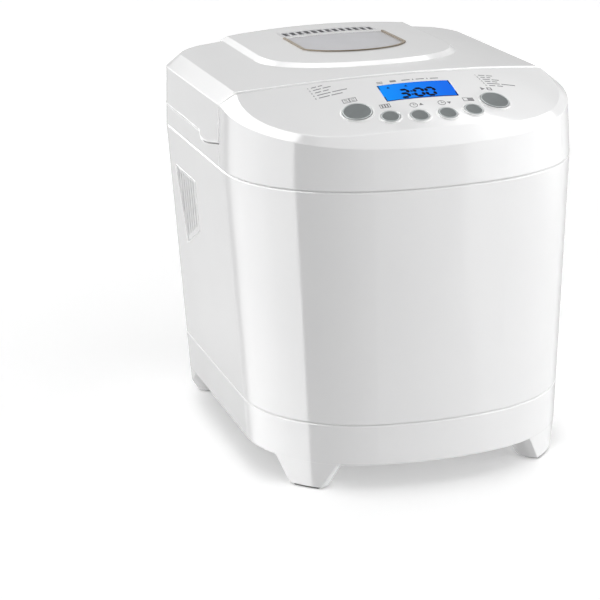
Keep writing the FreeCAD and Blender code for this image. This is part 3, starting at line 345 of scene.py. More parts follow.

# %% [markdown]
# ## Finishes
# Each finish is one material with its own Principled shader. The gloss white body is the most
# important: a pale base, a low roughness and softened edges, so that every corner of the
# moulding catches a thin line of light. A Bevel node rounds the normal at edges without changing
# the solids, and the base colour is also painted paler along the edges: a painted highlight.

# %% Material helpers
def start_finish(name, metallic=0.0, roughness=0.5):
    # A material with its shader and object coordinates, ready for its pattern.
    finish = bpy.data.materials.new(name)
    finish.use_nodes = True
    tree = finish.node_tree
    shader = tree.nodes["Principled BSDF"]
    shader.inputs["Metallic"].default_value = metallic
    shader.inputs["Roughness"].default_value = roughness
    place = tree.nodes.new("ShaderNodeTexCoord").outputs["Object"]
    return finish, tree, shader, place


def use_group(tree, group, place, **values):
    node = tree.nodes.new("ShaderNodeGroup")
    node.node_tree = group
    tree.links.new(place, node.inputs["Vector"])
    for label, value in values.items():
        node.inputs[label].default_value = value
    return node


def two_tones(tree, shader, factor, dark, light):
    # The base colour runs between two tones by a pattern.
    mix = tree.nodes.new("ShaderNodeMix")
    mix.data_type = "RGBA"
    mix.inputs["A"].default_value = (*dark, 1)
    mix.inputs["B"].default_value = (*light, 1)
    tree.links.new(factor, mix.inputs["Factor"])
    tree.links.new(mix.outputs["Result"], shader.inputs["Base Color"])
    return mix.outputs["Result"]


def relief(tree, shader, height, depth, edge=0.0):
    # Bump of a given depth in metres, over edges that are rounded by a given radius.
    bump = tree.nodes.new("ShaderNodeBump")
    bump.inputs["Strength"].default_value = 0.5
    bump.inputs["Distance"].default_value = depth
    tree.links.new(height, bump.inputs["Height"])
    if edge:
        soft = tree.nodes.new("ShaderNodeBevel")
        soft.samples = 6
        soft.inputs["Radius"].default_value = edge
        tree.links.new(soft.outputs["Normal"], bump.inputs["Normal"])
    tree.links.new(bump.outputs["Normal"], shader.inputs["Normal"])


edge_turn = (0.985, 0.90)


def edge_mask(tree, radius):
    # 1 along edges within a radius and 0 on open surface: where the rounded normal turns away.
    rounded = tree.nodes.new("ShaderNodeBevel")
    rounded.samples = 6
    rounded.inputs["Radius"].default_value = radius
    turned = tree.nodes.new("ShaderNodeVectorMath")
    turned.operation = "DOT_PRODUCT"
    mask = tree.nodes.new("ShaderNodeMapRange")
    set_range(mask, *edge_turn)
    tree.links.new(rounded.outputs["Normal"], turned.inputs[0])
    tree.links.new(tree.nodes.new("ShaderNodeNewGeometry").outputs["Normal"], turned.inputs[1])
    tree.links.new(turned.outputs["Value"], mask.inputs["Value"])
    return mask.outputs["Result"]


def plastic(name, dark, light, middle, spread, depth=0.00001, edge=0.0006, scale=18.0, edge_highlight_tone=None):
    # Moulded plastic between two close tones, and paler along its edges if a tone is given: a painted
    # highlight.
    finish, tree, shader, place = start_finish(name)
    skin = use_group(tree, skin_group, place, Scale=scale, Middle=middle, Spread=spread)
    body = two_tones(tree, shader, skin.outputs["Tone"], dark, light)
    if edge_highlight_tone:
        # Painted highlight: the base colour runs to the given pale tone along the edges.
        pale = tree.nodes.new("ShaderNodeMix")
        pale.data_type = "RGBA"
        pale.inputs["B"].default_value = (*edge_highlight_tone, 1)
        tree.links.new(edge_mask(tree, edge), pale.inputs["Factor"])
        tree.links.new(body, pale.inputs["A"])
        tree.links.new(pale.outputs["Result"], shader.inputs["Base Color"])
    tree.links.new(skin.outputs["Roughness"], shader.inputs["Roughness"])
    relief(tree, shader, skin.outputs["Height"], depth, edge)
    return finish, shader


def metal(name, dark, light, roughness, along=14.0, across=900.0, metallic=1.0, depth=0.00002):
    # Metal with a fine grain.
    finish, tree, shader, place = start_finish(name, metallic, roughness)
    grain = use_group(tree, grain_group, place, Along=along, Across=across)
    two_tones(tree, shader, grain.outputs["Tone"], dark, light)
    relief(tree, shader, grain.outputs["Height"], depth, 0.0004)
    return finish


# %% Finishes of the outside
# The white body has a painted highlight along every edge, besides its rounded normals.
white_plastic, white_shader = plastic("white_plastic", (0.83, 0.83, 0.835), (0.86, 0.86, 0.86),
                                      0.11, 0.04, edge=0.0010, edge_highlight_tone=(0.98, 0.98, 0.98))
white_shader.inputs["IOR"].default_value = 1.5
grille_white, _ = plastic("grille_white", (0.78, 0.78, 0.785), (0.82, 0.82, 0.82), 0.28, 0.05)
# The steam vent's grille is the body's white plastic darkened to grey: painted shade, as the grille lies
# in the shade of its slots.
shaded_vent_white, vent_shader = plastic("shaded_vent_white", (0.55, 0.55, 0.56), (0.60, 0.60, 0.61), 0.40, 0.05)
vent_shader.inputs["IOR"].default_value = 1.3
button_silver, silver_shader = plastic("button_silver", (0.108, 0.123, 0.124), (0.140, 0.155, 0.156),
                                       0.42, 0.05, scale=120.0)
silver_shader.inputs["IOR"].default_value = 1.22
rim_silver, rim_shader = plastic("rim_silver", (0.25, 0.27, 0.268), (0.29, 0.31, 0.308),
                                 0.38, 0.04, scale=120.0)
rim_shader.inputs["Metallic"].default_value = 0.2
rubber, _ = plastic("black_rubber", (0.018, 0.018, 0.018), (0.035, 0.035, 0.035), 0.70, 0.10, 0.00008)
silicone, _ = plastic("red_silicone", (0.36, 0.10, 0.07), (0.42, 0.13, 0.09), 0.55, 0.08, 0.00004)
bronze = metal("bronze", (0.075, 0.056, 0.033), (0.090, 0.068, 0.041), 0.55, metallic=0.25)
# Paler than the body white: a painted highlight for the lips.
lip_highlight_white, _ = plastic("lip_highlight_white", (0.92, 0.92, 0.92), (0.95, 0.95, 0.95), 0.16, 0.04, edge=0.0)
ink, _ = plastic("panel_ink", (0.055, 0.055, 0.06), (0.085, 0.085, 0.09), 0.5, 0.05, edge=0.0)
figure_black, figure_shader = plastic("figure_black", (0.004, 0.005, 0.010), (0.008, 0.010, 0.018),
                                      0.6, 0.05,
                                      edge=0.0)
figure_shader.inputs["IOR"].default_value = 1.04

# %% Finishes of the window and the display
def smoked_glass():
    finish, tree, shader, place = start_finish("window", roughness=0.10)
    haze = use_group(tree, skin_group, place, Scale=30.0, Middle=0.10, Spread=0.03)
    two_tones(tree, shader, haze.outputs["Tone"], (0.55, 0.55, 0.58), (0.60, 0.60, 0.63))
    tree.links.new(haze.outputs["Roughness"], shader.inputs["Roughness"])
    shader.inputs["Transmission Weight"].default_value = 0.30
    shader.inputs["IOR"].default_value = 1.5
    return finish


def lit_display():
    # A backlit panel: a blue that is lightest near its lamps on the left, and drifts a little.
    finish, tree, shader, place = start_finish("display", roughness=0.25)
    drift = use_group(tree, skin_group, place, Scale=40.0, Middle=0.25, Spread=0.05)
    axes = tree.nodes.new("ShaderNodeSeparateXYZ")
    fade = tree.nodes.new("ShaderNodeMapRange")
    set_range(fade, -24 * mm, 32 * mm)
    unevenness = tree.nodes.new("ShaderNodeMath")
    unevenness.operation = "MULTIPLY_ADD"
    unevenness.inputs[1].default_value = 0.3
    mix = tree.nodes.new("ShaderNodeMix")
    mix.data_type = "RGBA"
    mix.inputs["A"].default_value = (0.0, 0.30, 1.0, 1)
    mix.inputs["B"].default_value = (0.0, 0.15, 0.86, 1)
    tree.links.new(place, axes.inputs["Vector"])
    tree.links.new(axes.outputs["X"], fade.inputs["Value"])
    tree.links.new(drift.outputs["Tone"], unevenness.inputs[0])
    tree.links.new(fade.outputs["Result"], unevenness.inputs[2])
    tree.links.new(unevenness.outputs[0], mix.inputs["Factor"])
    tree.links.new(mix.outputs["Result"], shader.inputs["Emission Color"])
    shader.inputs["Base Color"].default_value = (0.0, 0.01, 0.05, 1)
    shader.inputs["IOR"].default_value = 1.06
    shader.inputs["Emission Strength"].default_value = 0.95
    relief(tree, shader, drift.outputs["Height"], 0.00001)
    return finish


window = smoked_glass()
display = lit_display()

# %% Finishes of the inside
def coated_metal(name, dark, fleck, roughness):
    # Dark non-stick coating with pale flecks.
    finish, tree, shader, place = start_finish(name, 0.1, roughness)
    flecks = use_group(tree, fleck_group, place, Scale=420.0, Size=0.17)
    two_tones(tree, shader, flecks.outputs["Mask"], dark, fleck)
    relief(tree, shader, flecks.outputs["Height"], 0.00005, 0.0008)
    return finish


def circuit_board(name):
    # Green lacquer over copper tracks, drawn by a fine brick pattern.
    finish, tree, shader, place = start_finish(name, 0.0, 0.35)
    tracks = tree.nodes.new("ShaderNodeTexBrick")
    tracks.inputs["Scale"].default_value = 130.0
    tracks.inputs["Mortar Size"].default_value = 0.03
    tracks.inputs["Color1"].default_value = (0.02, 0.16, 0.06, 1)
    tracks.inputs["Color2"].default_value = (0.025, 0.20, 0.075, 1)
    tracks.inputs["Mortar"].default_value = (0.06, 0.30, 0.12, 1)
    tree.links.new(place, tracks.inputs["Vector"])
    tree.links.new(tracks.outputs["Color"], shader.inputs["Base Color"])
    return finish


def laminated_iron(name):
    # A motor's stack of sheets, as fine level lines.
    finish, tree, shader, place = start_finish(name, 0.6, 0.5)
    sheets = tree.nodes.new("ShaderNodeTexWave")
    sheets.bands_direction = "Z"
    sheets.inputs["Scale"].default_value = 160.0
    sheets.inputs["Distortion"].default_value = 0.4
    tree.links.new(place, sheets.inputs["Vector"])
    two_tones(tree, shader, sheets.outputs["Fac"], (0.07, 0.075, 0.085), (0.16, 0.165, 0.18))
    relief(tree, shader, sheets.outputs["Fac"], 0.0001)
    return finish


coated = coated_metal("coated_aluminium", (0.022, 0.022, 0.024), (0.16, 0.16, 0.165), 0.38)
sheet_steel = metal("sheet_steel", (0.50, 0.50, 0.51), (0.64, 0.64, 0.65), 0.30)
steel = metal("steel", (0.42, 0.42, 0.43), (0.58, 0.58, 0.59), 0.26, along=400.0, across=400.0)
heater_steel = metal("heater_steel", (0.10, 0.095, 0.09), (0.19, 0.175, 0.16), 0.45,
                     along=120.0, across=120.0)
cast_aluminium = metal("cast_aluminium", (0.44, 0.44, 0.45), (0.60, 0.60, 0.60), 0.46,
                       along=350.0, across=350.0, depth=0.00006)
bush_bronze = metal("bush_bronze", (0.48, 0.30, 0.13), (0.62, 0.42, 0.20), 0.38,
                    along=500.0, across=500.0)
ceramic, _ = plastic("ceramic", (0.78, 0.75, 0.69), (0.86, 0.83, 0.77), 0.42, 0.08, 0.00004, scale=60.0)
black_plastic, _ = plastic("black_plastic", (0.018, 0.018, 0.020), (0.032, 0.032, 0.035),
                           0.42, 0.08, 0.00003, scale=60.0)
board = circuit_board("board_green")
motor_paint = laminated_iron("motor_paint")

# %% [markdown]
# ## Dressing the solids
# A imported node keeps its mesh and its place, and only its material slot changes. The table
# below says which pieces share a finish, as the maker's list of materials would.

# %% Give every node its finish
dress = {
    white_plastic: ("lid_shell", "top_frame", "main_shell", "base_tray"),
    grille_white: ("left_vent_grille", "right_vent_grille"),
    shaded_vent_white: ("lid_vent_grille",),
    button_silver: ("start_button", "menu_button", "colour_button", "size_button", "time_up_button",
                    "time_down_button"),
    rubber: ("foot_pads", "motor_mounts", "drive_belt", "cord_gland"),
    silicone: ("lid_seal", "pan_seal"),
    window: ("window_glass",),
    bronze: ("window_trim",),
    display: ("display_lens",),
    board: ("control_board", "power_board"),
    black_plastic: ("display_module", "tact_switches", "power_board_parts", "thermal_fuse",
                    "run_capacitor", "motor_pulley", "large_pulley"),
    sheet_steel: ("lid_liner", "baking_chamber", "chassis_plate", "heat_shield", "pan_clips"),
    steel: ("hinge_pins", "housing_screws", "board_screws", "lid_screws", "pan_handle", "pan_shaft",
            "drive_shaft", "motor_shaft", "heater_clips", "temperature_sensor"),
    heater_steel: ("heating_element",),
    cast_aluminium: ("bearing_housing", "pan_base", "pan_bearing", "wing_coupler", "drive_coupling"),
    coated: ("bread_pan", "kneading_paddle"),
    bush_bronze: ("shaft_bushes",),
    ceramic: ("heater_terminals",),
    motor_paint: ("motor_body",),
}
for finish, names in dress.items():
    for name in names:
        slots = nodes[name].data.materials
        slots.clear()
        slots.append(finish)
left_bare = sorted(set(nodes) - {name for names in dress.values() for name in names})
print("nodes without a finish:", left_bare)

# %% [markdown]
# ## Print on the panel
# The panel carries lists of programmes, signs above the buttons and a legend above the
# display, all in dark ink. They are flat shapes made above the panel, pushed straight down onto
# it with a Shrinkwrap modifier, and given the thickness of a coat of ink. The lists are plain
# numbers with plain bars, and the signs are common pictograms.

# %% Flat shapes
print_height = 0.32
ink_lift = 0.00006
ink_coat = 0.00004


def flat_bar(x, y, width, depth):
    # A level rectangle around x and y, cut into short lengths so that it can follow a curve.
    deselect()
    lengths = max(1, round(width / (4 * mm)))
    bpy.ops.mesh.primitive_grid_add(x_subdivisions=lengths, y_subdivisions=1, size=1.0,
                                    location=(x, y, print_height))
    piece = bpy.context.object
    piece.scale = (width, depth, 1)
    bpy.ops.object.transform_apply(location=True, rotation=True, scale=True)
    return piece


def flat_ring(x, y, radius, line):
    # A level ring: a disc whose face is inset and whose middle is deleted.
    deselect()
    bpy.ops.mesh.primitive_circle_add(vertices=28, radius=radius, fill_type="NGON",
                                      location=(x, y, print_height))
    bpy.ops.object.mode_set(mode="EDIT")
    bpy.ops.mesh.select_all(action="SELECT")
    bpy.ops.mesh.inset(thickness=line)
    bpy.ops.mesh.delete(type="FACE")
    bpy.ops.object.mode_set(mode="OBJECT")
    bpy.ops.object.transform_apply(location=True, rotation=True, scale=True)
    return bpy.context.object


def flat_triangle(x, y, radius, turn):
    # A level triangle with one corner in the direction of the turn, in degrees from +X.
    deselect()
    bpy.ops.mesh.primitive_circle_add(vertices=3, radius=radius, fill_type="NGON",
                                      location=(x, y, print_height),
                                      rotation=(0, 0, math.radians(turn - 90)))
    bpy.ops.object.transform_apply(location=True, rotation=True, scale=True)
    return bpy.context.object


def flat_figure(text, x, y, size):
    # A number set in the plain built-in letterform and made a mesh.
    deselect()
    bpy.ops.object.text_add(location=(x, y, print_height))
    piece = bpy.context.object
    piece.data.body = text
    piece.data.size = size
    piece.data.align_x = "LEFT"
    piece.data.align_y = "CENTER"
    piece.data.resolution_u = 3
    bpy.ops.object.convert(target="MESH")
    piece = bpy.context.object
    bpy.ops.object.transform_apply(location=True, rotation=True, scale=True)
    return piece


def flat_frame(x, y, width, depth, line):
    # Four bars around an empty middle.
    half_x = (width - line) / 2
    half_y = (depth - line) / 2
    upright = depth - 2 * line
    return [flat_bar(x, y + half_y, width, line), flat_bar(x, y - half_y, width, line),
            flat_bar(x - half_x, y, line, upright), flat_bar(x + half_x, y, line, upright)]


def lay_print(name, shapes, carrier, finish, lift=ink_lift, coat=ink_coat):
    # Joins flat shapes, lays them on the carrier's surface and gives them a thickness.
    deselect()
    for shape in shapes:
        shape.select_set(True)
    bpy.context.view_layer.objects.active = shapes[0]
    bpy.ops.object.join()
    piece = bpy.context.object
    piece.name = name
    piece.data.name = name
    bpy.ops.object.transform_apply(location=True, rotation=True, scale=True)
    lay = piece.modifiers.new("lay", "SHRINKWRAP")
    lay.target = nodes[carrier]
    lay.wrap_method = "PROJECT"
    lay.use_project_z = True
    lay.use_positive_direction = False
    lay.use_negative_direction = True
    lay.offset = lift
    thick = piece.modifiers.new("thick", "SOLIDIFY")
    thick.thickness = coat
    thick.offset = 1.0
    for modifier in ("lay", "thick"):
        bpy.ops.object.modifier_apply(modifier=modifier)
    piece.data.materials.clear()
    piece.data.materials.append(finish)
    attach(piece, "housing")
    return piece


# %% Programme lists
number_size = 2.9 * mm
number_room = 3.2 * mm
word_gap = 1.4 * mm
word_line = 1.0 * mm
first_share = 0.45


def programme_list(name, left, rear, pitch, lengths, skew):
    # Numbered lines, each with two plain bars in place of words.
    shapes = []
    for i, length in enumerate(lengths):
        x = left + skew * i
        y = rear - pitch * i
        shapes.append(flat_figure(str(i + 1), x, y, number_size))
        start = x + number_room
        first = first_share * length
        shapes.append(flat_bar(start + first / 2, y, first, word_line))
        second = length - first - word_gap
        shapes.append(flat_bar(start + first + word_gap + second / 2, y, second, word_line))
    piece = lay_print(name, shapes, "top_frame", ink)
    return piece


programme_list("left_programme_list", -74.6 * mm, -73.2 * mm, 4.1 * mm,
               [v * mm for v in (8.5, 13.5, 10.5, 23.0, 18.0)], 0.25 * mm)
programme_list("right_programme_list", 54.4 * mm, -79.9 * mm, 3.2 * mm,
               [v * mm for v in (11.0, 8.0, 13.0, 10.0, 22.5, 11.0)], 0.5 * mm)

# %% Signs above the buttons
line = 0.55 * mm


def clock_sign(x, y):
    # A clock face with two hands.
    return [flat_ring(x, y, 3.0 * mm, line), flat_bar(x + 0.8 * mm, y, 1.7 * mm, line),
            flat_bar(x, y + 0.8 * mm, line, 1.7 * mm)]


signs = []
book_x, book_y = -51.1 * mm, -101.7 * mm
signs += flat_frame(book_x - 2.6 * mm, book_y, 5.4 * mm, 5.6 * mm, line)
signs += flat_frame(book_x + 2.6 * mm, book_y, 5.4 * mm, 5.6 * mm, line)
signs += [flat_bar(book_x - 2.6 * mm, book_y + s * 1.0 * mm, 2.8 * mm, 0.6 * mm) for s in (-1, 1)]
signs += [flat_bar(book_x + 2.6 * mm, book_y + s * 1.0 * mm, 2.8 * mm, 0.6 * mm) for s in (-1, 1)]
size_x, size_y = -29.1 * mm, -117.0 * mm
signs += flat_frame(size_x, size_y, 8.0 * mm, 4.8 * mm, line)
signs += [flat_bar(size_x + s * 2.0 * mm, size_y, 1.1 * mm, 3.4 * mm) for s in (-1, 0, 1)]
time_y = -120.6 * mm
signs += clock_sign(-8.4 * mm, time_y) + [flat_triangle(-2.7 * mm, time_y, 1.9 * mm, 90)]
signs += clock_sign(13.2 * mm, time_y) + [flat_triangle(18.9 * mm, time_y, 1.9 * mm, -90)]
shade_x, shade_y = 35.0 * mm, -117.2 * mm
signs += flat_frame(shade_x - 2.0 * mm, shade_y, 4.2 * mm, 4.6 * mm, line)
signs += [flat_bar(shade_x + 2.2 * mm, shade_y, 4.2 * mm, 4.6 * mm)]
run_x, run_y = 55.1 * mm, -101.4 * mm
signs += [flat_triangle(run_x - 2.8 * mm, run_y, 2.4 * mm, 0)]
signs += flat_frame(run_x + 2.8 * mm, run_y, 3.8 * mm, 3.8 * mm, 0.8 * mm)
lay_print("button_signs", signs, "top_frame", ink)

# %% Legend above the display
legend_y = -85.2 * mm
legend = [flat_bar(-22.3 * mm, legend_y + s * 0.9 * mm, 4.6 * mm, 0.7 * mm) for s in (-1, 1)]
legend += [flat_bar(-12.0 * mm, legend_y, 4.8 * mm, 2.6 * mm)]
legend += [flat_bar(v * mm, legend_y, 6.4 * mm, 1.0 * mm) for v in (-2.0, 9.2, 20.4)]
legend += [flat_bar(v * mm, legend_y, 0.8 * mm, 1.6 * mm) for v in (3.6, 14.8)]
lay_print("display_legend", legend, "top_frame", ink)

# %% [markdown]
# ## Figures on the display
# A liquid crystal display writes its figures with seven bars. One bar is a grid face drawn to
# points at both ends, and every figure is the same few bars in seven places, leaning a little.

# %% Seven-bar figures
figure_width = 6.0 * mm
figure_height = 10.4 * mm
bar_width = 2.6 * mm
figure_lean = 0.14
bars_of = {"0": "abcdef", "3": "abcdg"}


def pick(piece, test):
    # Goes into edit mode with only those points selected whose place passes a test.
    bpy.ops.object.mode_set(mode="EDIT")
    bpy.ops.mesh.select_mode(type="VERT")
    bpy.ops.mesh.select_all(action="DESELECT")
    bpy.ops.object.mode_set(mode="OBJECT")
    for vertex in piece.data.vertices:
        vertex.select = test(vertex.co)
    bpy.ops.object.mode_set(mode="EDIT")


def display_bar(length):
    # A level bar: a rectangle whose two ends are drawn out and merged to points.
    deselect()
    straight = length - 0.5 * mm - bar_width
    bpy.ops.mesh.primitive_plane_add(size=1.0)
    piece = bpy.context.object
    piece.scale = (straight, bar_width, 1)
    bpy.ops.object.transform_apply(location=True, rotation=True, scale=True)
    for side in (-1, 1):
        pick(piece, lambda point: side * point.x > straight / 4 and abs(point.y) > bar_width / 4)
        bpy.ops.mesh.extrude_edges_move(TRANSFORM_OT_translate={"value": (side * bar_width / 2, 0, 0)})
        bpy.ops.mesh.merge(type="CENTER")
        bpy.ops.object.mode_set(mode="OBJECT")
    return piece


def copied(piece, x, y, turn=0.0):
    # A copy with its own mesh, turned about Z and set at its place above the panel.
    deselect()
    twin = piece.copy()
    twin.data = piece.data.copy()
    bpy.context.scene.collection.objects.link(twin)
    twin.location = (x, y, print_height)
    twin.rotation_euler = (0, 0, turn)
    twin.select_set(True)
    bpy.context.view_layer.objects.active = twin
    bpy.ops.object.transform_apply(location=True, rotation=True, scale=True)
    return twin


level_bar = display_bar(figure_width)
upright_bar = display_bar(figure_height / 2)


def display_figure(figure, x, y):
    # The lit bars of one figure around its middle.
    reach = figure_height / 4
    half_x = figure_width / 2
    places = {"a": (0, 2 * reach, False), "g": (0, 0, False), "d": (0, -2 * reach, False),
              "b": (half_x, reach, True), "c": (half_x, -reach, True),
              "f": (-half_x, reach, True), "e": (-half_x, -reach, True)}
    made = []
    for name in bars_of[figure]:
        dx, dy, upright = places[name]
        place = (x + dx + figure_lean * dy, y + dy)
        bar, turn = (upright_bar, math.radians(90)) if upright else (level_bar, 0.0)
        made.append(copied(bar, *place, turn))
    return made


figures_y = -103.8 * mm
figures = display_figure("3", -9.4 * mm, figures_y)
figures += display_figure("0", 1.9 * mm, figures_y) + display_figure("0", 10.9 * mm, figures_y)
dot_x, dot_y, dot_size = -3.6 * mm, 2.2 * mm, 1.7 * mm
figures += [flat_bar(dot_x + figure_lean * s * dot_y, figures_y + s * dot_y, dot_size, dot_size)
            for s in (-1, 1)]
figures += [flat_triangle(x * mm, -93.6 * mm, 1.5 * mm, 90) for x in (-18.6, -4.8)]
lay_print("display_figures", figures, "display_lens", figure_black)
for pattern in (level_bar, upright_bar):
    bpy.data.objects.remove(pattern)

# %% Dark edge of the display
# A dark frame around the lens: the lens's dark rim, with painted shade for the shadow of the recess it
# sits in.
lens_low, lens_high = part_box("display_lens")
lens_middle = (lens_low + lens_high) / 2
lens_size = lens_high - lens_low - Vector((0.5 * mm, 0.9 * mm, 0))
edge_bars = flat_frame(lens_middle.x, lens_middle.y, lens_size.x, lens_size.y, 0.8 * mm)
lay_print("display_edge", edge_bars, "display_lens", figure_black)
print("display in mm:", [round(v / mm, 1) for v in lens_size])

# %% [markdown]
# ## Button rims
# Each button is a dished cap with a rolled rim that is lighter than the cap. A torus would be a
# wire on top of it, so the rim is a flat ring instead: a disc is inset, its middle deleted, the
# ring extruded to its height and its edges rounded with a Bevel modifier. Its place and its
# tilt are read from the cap's own mesh and from the direction in which the button is pressed.

# %% Rims
rim_width = 1.0 * mm
rim_height = 0.55 * mm
rim_proud = 0.2 * mm
rim_round = 0.25 * mm
cap_edge = 0.05 * mm


def button_rim(button, body):
    axis = next(Vector(j["axis"]) for j in frame["joints"] if j["child"] == body)
    out = -axis.normalized()
    points = [v.co.copy() for v in nodes[button].data.vertices]
    top = max(p.dot(out) for p in points)
    edge = [p for p in points if top - p.dot(out) < cap_edge]
    middle = sum(edge, Vector()) / len(edge)
    radius = max((p - middle).length for p in edge)
    deselect()
    bpy.ops.mesh.primitive_circle_add(vertices=64, radius=radius, fill_type="NGON")
    rim = bpy.context.object
    rim.name = button + "_rim"
    rim.data.name = rim.name
    bpy.ops.object.mode_set(mode="EDIT")
    bpy.ops.mesh.select_mode(type="FACE")
    bpy.ops.mesh.select_all(action="SELECT")
    bpy.ops.mesh.inset(thickness=rim_width)
    bpy.ops.mesh.delete(type="FACE")
    bpy.ops.mesh.select_all(action="SELECT")
    bpy.ops.mesh.extrude_region_move(TRANSFORM_OT_translate={"value": (0, 0, rim_height)})
    bpy.ops.mesh.select_all(action="SELECT")
    bpy.ops.mesh.normals_make_consistent(inside=False)
    bpy.ops.object.mode_set(mode="OBJECT")
    roll_over = rim.modifiers.new("roll_over", "BEVEL")
    roll_over.width = rim_round
    roll_over.segments = 3
    roll_over.limit_method = "ANGLE"
    roll_over.angle_limit = math.radians(40)
    bpy.ops.object.modifier_apply(modifier="roll_over")
    rim.rotation_mode = "QUATERNION"
    rim.rotation_quaternion = out.to_track_quat("Z", "Y")
    rim.location = middle - out * (rim_height - rim_proud)
    bpy.ops.object.transform_apply(location=True, rotation=True, scale=True)
    bpy.ops.object.shade_smooth_by_angle(angle=math.radians(40))
    rim.data.materials.append(rim_silver)
    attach(rim, body)
    return radius


for button in dress[button_silver]:
    print(button, "rim radius in mm:", round(button_rim(button, button) / mm, 2))

# %% [markdown]
# ## Dark sheet under the steam vent
# A dark sheet with a fine crossing pattern lies under the slots in the lid. It is painted shade
# that stands in for the shadow inside the openings, so that the slots read as openings. It could
# be a texture on the grille, but a sheet under it also looks right through the slots from the
# side. It is a grid the size of the grille, drawn in a little, with a thickness of its own.

# %% Painted shade under the slots
def slot_shade_finish(name):
    # Painted shade: near black, with two sets of fine crossing bands, of which the higher one shows.
    finish, tree, shader, place = start_finish(name, 0.0, 0.75)
    crossing_bands = []
    for direction in ("X", "Y"):
        band = tree.nodes.new("ShaderNodeTexWave")
        band.bands_direction = direction
        band.inputs["Scale"].default_value = 400.0
        tree.links.new(place, band.inputs["Vector"])
        crossing_bands.append(band.outputs["Fac"])
    over = tree.nodes.new("ShaderNodeMath")
    over.operation = "MAXIMUM"
    tree.links.new(crossing_bands[0], over.inputs[0])
    tree.links.new(crossing_bands[1], over.inputs[1])
    two_tones(tree, shader, over.outputs[0], (0.010, 0.010, 0.011), (0.045, 0.045, 0.050))
    relief(tree, shader, over.outputs[0], 0.0001)
    shader.inputs["Specular IOR Level"].default_value = 0.1
    return finish


# A convex copy of the grille has its outline and its crown, but no slots.
deselect()
cover = nodes["lid_vent_grille"].copy()
cover.data = cover.data.copy()
bpy.context.scene.collection.objects.link(cover)
cover.select_set(True)
bpy.context.view_layer.objects.active = cover
bpy.ops.object.mode_set(mode="EDIT")
bpy.ops.mesh.select_all(action="SELECT")
bpy.ops.mesh.remove_doubles(threshold=0.00001)
bpy.ops.mesh.convex_hull()
bpy.ops.object.mode_set(mode="OBJECT")

sheet_margin = 1.0 * mm
sheet_depth = 0.5 * mm
sheet_thickness = 0.2 * mm
sheet_low, sheet_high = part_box("lid_vent_grille")
sheet_middle = (sheet_low + sheet_high) / 2
sheet_size = sheet_high - sheet_low - Vector((2 * sheet_margin, 2 * sheet_margin, 0))
deselect()
bpy.ops.mesh.primitive_grid_add(x_subdivisions=60, y_subdivisions=8, size=1.0,
                                location=(sheet_middle.x, sheet_middle.y, print_height))
shade_sheet = bpy.context.object
shade_sheet.name = "slot_shade_sheet"
shade_sheet.data.name = shade_sheet.name
shade_sheet.scale = (sheet_size.x, sheet_size.y, 1)
bpy.ops.object.transform_apply(location=True, rotation=True, scale=True)
sink = shade_sheet.modifiers.new("sink", "SHRINKWRAP")
sink.target = cover
sink.wrap_method = "PROJECT"
sink.use_project_z = True
sink.use_positive_direction = False
sink.use_negative_direction = True
sink.offset = -sheet_depth
thick = shade_sheet.modifiers.new("thick", "SOLIDIFY")
thick.thickness = sheet_thickness
for modifier in ("sink", "thick"):
    bpy.ops.object.modifier_apply(modifier=modifier)
bpy.data.objects.remove(cover)
# Near black: painted shade in the openings of the slots.
shade_sheet.data.materials.append(slot_shade_finish("slot_shade_sheet"))
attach(shade_sheet, "lid")
sheet_top = max(v.co.z for v in shade_sheet.data.vertices)
print("gauze in mm:", [round(v / mm, 1) for v in sheet_size])
print("it lies under the grille's top by mm:", round((sheet_high.z - sheet_top) / mm, 2))

# %% [markdown]
# ## Lips
# A fine rounded lip runs along the edge of the lid and around each side vent, and catches the
# light as a white line. Its white is paler than the body's, a painted highlight along that line.
# It could be a bevel of the solids, but it is thinner than they are worth cutting for. Each lip
# is a curve with a round section, laid where rays meet the surface, and made a mesh.

# %% Lips
side_lip = 0.46 * mm
front_lip = 0.8 * mm
lip_step = 3 * mm
beside = 0.2
above_lid = 0.4


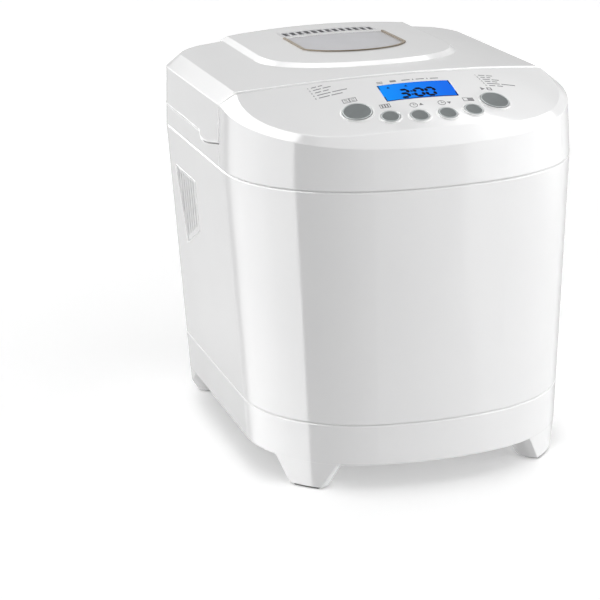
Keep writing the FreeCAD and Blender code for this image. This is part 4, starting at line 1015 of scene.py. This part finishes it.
def along(points, step):
    # Points at most one step apart along the straight runs between given points.
    dense = []
    for start, end in zip(points, points[1:]):
        count = max(1, math.ceil((Vector(end) - Vector(start)).length / step))
        dense += [Vector(start).lerp(Vector(end), i / count) for i in range(count)]
    return dense + [Vector(points[-1])]


def lip(name, node, body, starts, direction, radius=side_lip, closed=False):
    # A round lip, half sunk into a node's surface where rays from the starts meet it.
    found = [nodes[node].ray_cast(start, direction) for start in starts]
    places = [result[1] for result in found if result[0]]
    curve = bpy.data.curves.new(name, "CURVE")
    curve.dimensions = "3D"
    curve.bevel_depth = radius
    curve.bevel_resolution = 3
    curve.use_fill_caps = True
    run = curve.splines.new("POLY")
    run.points.add(len(places) - 1)
    for point, place in zip(run.points, places):
        point.co = (*place, 1)
    run.use_cyclic_u = closed
    deselect()
    piece = bpy.data.objects.new(name, curve)
    bpy.context.scene.collection.objects.link(piece)
    piece.select_set(True)
    bpy.context.view_layer.objects.active = piece
    bpy.ops.object.convert(target="MESH")
    piece = bpy.context.object
    bpy.ops.object.shade_smooth()
    piece.data.materials.clear()
    piece.data.materials.append(lip_highlight_white)
    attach(piece, body)
    print(name, "laid at", len(places), "of", len(starts), "points")


bow_radius = 270.264 * mm
bow_centre = 196.264 * mm
inner = bow_radius - front_lip - 0.1 * mm
reach = math.asin(133.6 * mm / inner)
front_line = [Vector((inner * math.sin(t), bow_centre - inner * math.cos(t), above_lid))
              for t in (reach * (i / 60 - 1) for i in range(121))]
lip("lid_front_lip", "lid_shell", "lid", front_line, Vector((0, 0, -1)), front_lip)
side_line = [(-38.2, 279.0), (-38.2, 253.2), (-5.0, 246.8), (7.0, 245.6), (16.3, 246.2),
             (21.1, 251.0), (147.0, 251.0)]
vent_line = [(45.0, 204.0), (109.4, 204.0), (90.6, 141.6), (45.0, 162.4), (45.0, 204.0)]
for side, label in ((-1, "left"), (1, "right")):
    inwards = Vector((-side, 0, 0))
    starts = along([(side * beside, y * mm, z * mm) for y, z in side_line], lip_step)
    lip("lid_" + label + "_lip", "lid_shell", "lid", starts, inwards)
    starts = along([(side * beside, y * mm, z * mm) for y, z in vent_line], lip_step)[:-1]
    lip(label + "_vent_lip", "main_shell", "housing", starts, inwards, closed=True)
